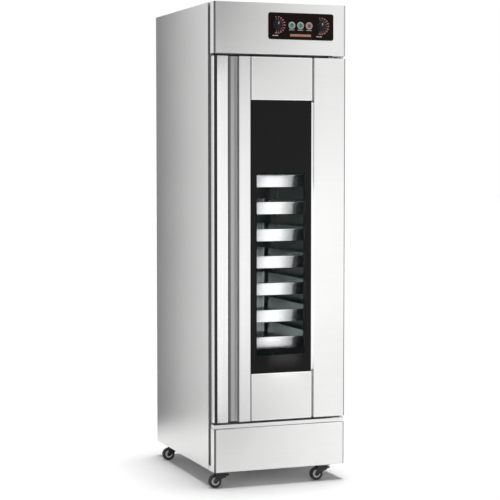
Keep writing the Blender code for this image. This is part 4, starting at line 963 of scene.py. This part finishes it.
def make_meter():
    """A plain copper-coloured level bar in small cells, under the buttons."""
    low, high = corners_of("humidifier_button")
    centre = ((low.x + high.x) / 2 + METER_RIM, KNOB_ROW - METER_DROP)
    width, height = METER_SIZE
    cell = width / METER_CELLS
    bar = bmesh.new()
    for step in range(METER_CELLS):
        x = centre[0] - width / 2 + cell * (step + 0.5)
        front_mark(bar, (x, centre[1]), cell - METER_RIM, height - METER_RIM * 2)
    front_mark(bar, (centre[0], centre[1] + height / 2), width, METER_RIM)
    front_mark(bar, (centre[0], centre[1] - height / 2), width, METER_RIM)
    piece_of("level_bar", bar, "cabinet", "faceplate_print", MATERIALS["copper_print"])


KNOB_POINTER_RISE = 0.002


def make_knobs():
    """Fluted knobs with a pale pointer line."""
    for name, (x, z) in knob_places().items():
        low, high = corners_of(name)
        radius = (high.x - low.x) / 2
        depth = high.y - low.y - KNOB_POINTER_RISE
        grip = radius * 0.77
        profile = [
            (radius * 0.97, 0.0), (radius, depth * 0.03), (radius, depth * 0.17),
            (radius * 0.96, depth * 0.22), (grip * 1.06, depth * 0.27, 0.2),
            (grip, depth * 0.33, 1.0), (grip * 0.985, depth * 0.88, 1.0),
            (grip * 0.95, depth * 0.96, 0.6), (grip * 0.86, depth, 0.0),
            (grip * 0.70, depth * 0.985)]
        knob = bmesh.new()
        add_turned(knob, profile, (x, high.y, z), (0, -1, 0), 144, KNOB_FLUTES, FLUTE_DEPTH)
        piece_of(name + "_grip", knob, name, "black_plastic", MATERIALS["knob_plastic"],
                 replaced=[name])
        line = bmesh.new()
        front = high.y - depth
        add_box(line, (x - TICK_WIDTH, front - KNOB_POINTER_RISE / 4, z + grip * 0.15),
                (x + TICK_WIDTH, front + KNOB_POINTER_RISE, z + grip * 0.82))
        piece_of(name + "_line", line, name, "black_plastic", MATERIALS["pale_print"],
                 edge=TICK_WIDTH / 4)


LENS_DOME = 0.0022
LENS_BACK = 0.010


def make_buttons():
    """Domed lens caps, each with a fine ring in its face, and bright rims on their collars."""
    for name in ("power_button", "humidifier_button", "lamp_button"):
        low, high = corners_of(name)
        x, radius = (low.x + high.x) / 2, (high.x - low.x) / 2
        proud = LENS_DOME
        profile = [(radius * 0.32, high.y - low.y), (radius * 0.32, LENS_BACK),
                   (radius, LENS_BACK), (radius, proud * 1.2)]
        for step in range(7):
            angle = math.radians(90 * step / 6)
            reach = radius * (0.93 + 0.07 * math.cos(angle))
            profile.append((reach, proud * (1.2 - 0.7 * math.sin(angle))))
        profile += [(radius * 0.70, proud * 0.34), (radius * 0.66, proud * 0.50),
                    (radius * 0.60, proud * 0.50), (radius * 0.56, proud * 0.30),
                    (radius * 0.30, proud * 0.10), (radius * 0.08, 0.0)]
        lens = bmesh.new()
        add_turned(lens, [(reach, -along) for reach, along in profile],
                   (x, low.y, KNOB_ROW), (0, -1, 0), 40)
        piece_of(name + "_lens", lens, name, SLOT_OF[name], replaced=[name])
        ring = bmesh.new()
        add_loop(ring, [(radius * 0.93, proud * 0.9), (radius * 0.93, proud * 0.38),
                        (radius * 0.90, proud * 0.28), (radius * 0.74, proud * 0.26),
                        (radius * 0.72, proud * 0.9)], Vector((x, low.y, KNOB_ROW)), 40)
        piece_of(name + "_ring", ring, name, SLOT_OF[name],
                 MATERIALS[SLOT_OF[name].replace("lens", "ring")])


# Casters

CASTER_EDGE = 0.0004
CASTER_PLATE = 0.003
CASTER_BOLT = 0.0032
CASTER_BOLT_INSET = 0.007


def make_casters():
    for label in ("front_left", "front_right", "rear_left", "rear_right"):
        make_wheel(label)
        refined("caster_fork_" + label, CASTER_EDGE)
        refined("caster_plate_" + label, CASTER_EDGE, material=MATERIALS["plate_dark"])
        low, high = corners_of("caster_plate_" + label)
        bolts = bmesh.new()
        inset = CASTER_BOLT_INSET
        for x in (low.x + inset, high.x - inset):
            for y in (low.y + inset, high.y - inset):
                add_turned(bolts, [(CASTER_BOLT, 0.0), (CASTER_BOLT, CASTER_BOLT * 0.5),
                                   (CASTER_BOLT * 0.8, CASTER_BOLT * 0.7)],
                           (x, y, high.z - CASTER_PLATE), (0, 0, -1), 6)
        piece_of("caster_bolts_" + label, bolts, "cabinet", "zinc_plate",
                 MATERIALS["plate_dark"], edge=SHEET_EDGE)
    for label in ("front_left", "front_right"):
        refined("brake_pedal_" + label, CASTER_EDGE)


AXLE_BORE = 0.0033
HUB_CAP = 0.0058
RING_WIDTH = 0.0056


def make_wheel(label):
    """A tyre with a rounded tread, and a hub with a bright ring, a dark dish and a pale cap."""
    low, high = corners_of("caster_tyre_" + label)
    hub_low, hub_high = corners_of("caster_hub_" + label)
    centre = (low + high) / 2
    radius, half = (high.z - low.z) / 2, (high.y - low.y) / 2
    seat = (hub_high.z - hub_low.z) / 2
    body = "caster_wheel_" + label
    outline = [(seat, half * 0.72), (seat * 1.12, half * 0.92), (radius - half * 0.62, half)]
    for step in range(9):
        angle = math.radians(90 - 180 * step / 8)
        flat = math.copysign(abs(math.sin(angle)) ** 0.8, math.sin(angle))
        outline.append((radius - half * 0.42 * (1 - math.cos(angle) ** 0.6), half * 0.98 * flat))
    outline += [(radius - half * 0.62, -half), (seat * 1.12, -half * 0.92),
                (seat, -half * 0.72)]
    tyre = bmesh.new()
    add_loop(tyre, outline, centre)
    piece_of("tyre_" + label, tyre, body, "tyre_rubber", replaced=["caster_tyre_" + label])
    hub_half = (hub_high.y - hub_low.y) / 2
    ring_in = seat - RING_WIDTH
    hub_outline = []
    for side in (1, -1):
        rim = [(seat * 0.985, side * hub_half), (ring_in + RING_WIDTH * 0.2, side * hub_half),
               (ring_in, side * hub_half * 0.88), (ring_in - 0.0004, side * hub_half * 0.55),
               (AXLE_BORE, side * hub_half * 0.55)]
        hub_outline += rim if side == 1 else rim[::-1]
    hub = bmesh.new()
    add_loop(hub, hub_outline, centre)
    piece_of("hub_" + label, hub, body, "wheel_hub", replaced=["caster_hub_" + label],
             edge=SHEET_EDGE)
    dish = bmesh.new()
    for side in (1, -1):
        face = side * hub_half * 0.56
        dish_outline = [(ring_in - 0.0008, face), (ring_in - 0.0008, face + side * 0.0006),
                        (HUB_CAP * 1.35, face + side * 0.0010), (HUB_CAP * 1.35, face)]
        add_loop(dish, dish_outline, centre)
    piece_of("hub_dish_" + label, dish, body, "wheel_hub", MATERIALS["hub_dark"])
    cap = bmesh.new()
    reach = hub_half * 0.9
    for side in (1, -1):
        add_loop(cap, [(AXLE_BORE, side * reach * 0.6), (HUB_CAP, side * reach * 0.6),
                       (HUB_CAP, side * reach * 0.92), (HUB_CAP * 0.8, side * reach),
                       (AXLE_BORE, side * reach)], centre)
    piece_of("hub_cap_" + label, cap, body, "wheel_hub")


def add_loop(build, outline, centre, steps=48):
    """A closed outline of (radius, place along Y) points turned round an axle."""
    rings = []
    for step in range(steps):
        angle = 2 * math.pi * step / steps
        rings.append([build.verts.new(centre + Vector((radius * math.cos(angle), along,
                                                       radius * math.sin(angle))))
                      for radius, along in outline])
    for k in range(steps):
        near, far = rings[k], rings[(k + 1) % steps]
        for i in range(len(outline)):
            n = (i + 1) % len(outline)
            build.faces.new((near[i], near[n], far[n], far[i]))


BOXES = {name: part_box(name) for name in NODES}
KNOB_ROW = (BOXES["power_button"][0].z + BOXES["power_button"][1].z) / 2

make_camera()
make_world()
make_floor()
make_sun("key", *KEY_SUN)
make_sun("fill", *FILL_SUN)
make_card("front_card", FRONT_CARD_X, FRONT_CARD_Z, FRONT_CARD_Y, True,
          {"left": NARROW_FADE * 2, "high": CARD_FADE}, front_brightness)
make_card("side_card", SIDE_CARD_X, SIDE_CARD_Z, SIDE_CARD_Y, False,
          {"left": CARD_FADE, "high": CARD_FADE}, side_brightness)
make_card("strip_card", STRIP_CARD_X, STRIP_CARD_Z, STRIP_CARD_Y, True,
          {"right": NARROW_FADE, "low": NARROW_FADE, "high": NARROW_FADE}, strip_brightness)
make_card("window_card", WINDOW_CARD_X, WINDOW_CARD_Z, WINDOW_CARD_Y, True,
          {"low": NARROW_FADE, "high": NARROW_FADE}, window_brightness)
bpy.context.scene.view_settings.view_transform = "Standard"
MATERIALS = make_materials()

for name in NODES:
    repaint(name)
for name in ("left_side_panel", "right_side_panel"):
    refined(name, material=MATERIALS["steel_side"])
for name in ("door_top_panel", "door_bottom_panel"):
    refined(name, material=MATERIALS["centre_steel"])
paint_bend_shade(refined("door_handle_profile", material=MATERIALS["strip_steel"]), -1,
            HANDLE_BEND, "bend_painted_shade")
for name in ("header_panel", "lower_front_panel"):
    paint_bend_shade(paint_bend_shade(refined(name), -1, BODY_BEND, "grey_painted_shade"), 1, BODY_BEND,
                "pale_painted_shade")
finish_sill(refined("inner_liner"))
refined("door_inner_panel", material=MATERIALS["panel_steel"])
for name in ("rear_panel", "top_panel", "base_pan", "door_left_stile", "door_right_stile",
             "control_faceplate", "control_unit", "duct_cover",
             "left_tray_rack", "right_tray_rack", "water_pan", "hinge_bracket_top",
             "hinge_bracket_bottom", "cable_gland", "interior_lamp"):
    refined(name)
for number in range(1, TRAYS + 1):
    refined("tray_%d" % number)
make_glass()
make_window_seal()
make_panel_beads()
make_edge_strips()
make_groove_lining()
make_neck_trim()
make_screws()
make_dials()
make_meter()
make_knobs()
make_buttons()
make_casters()
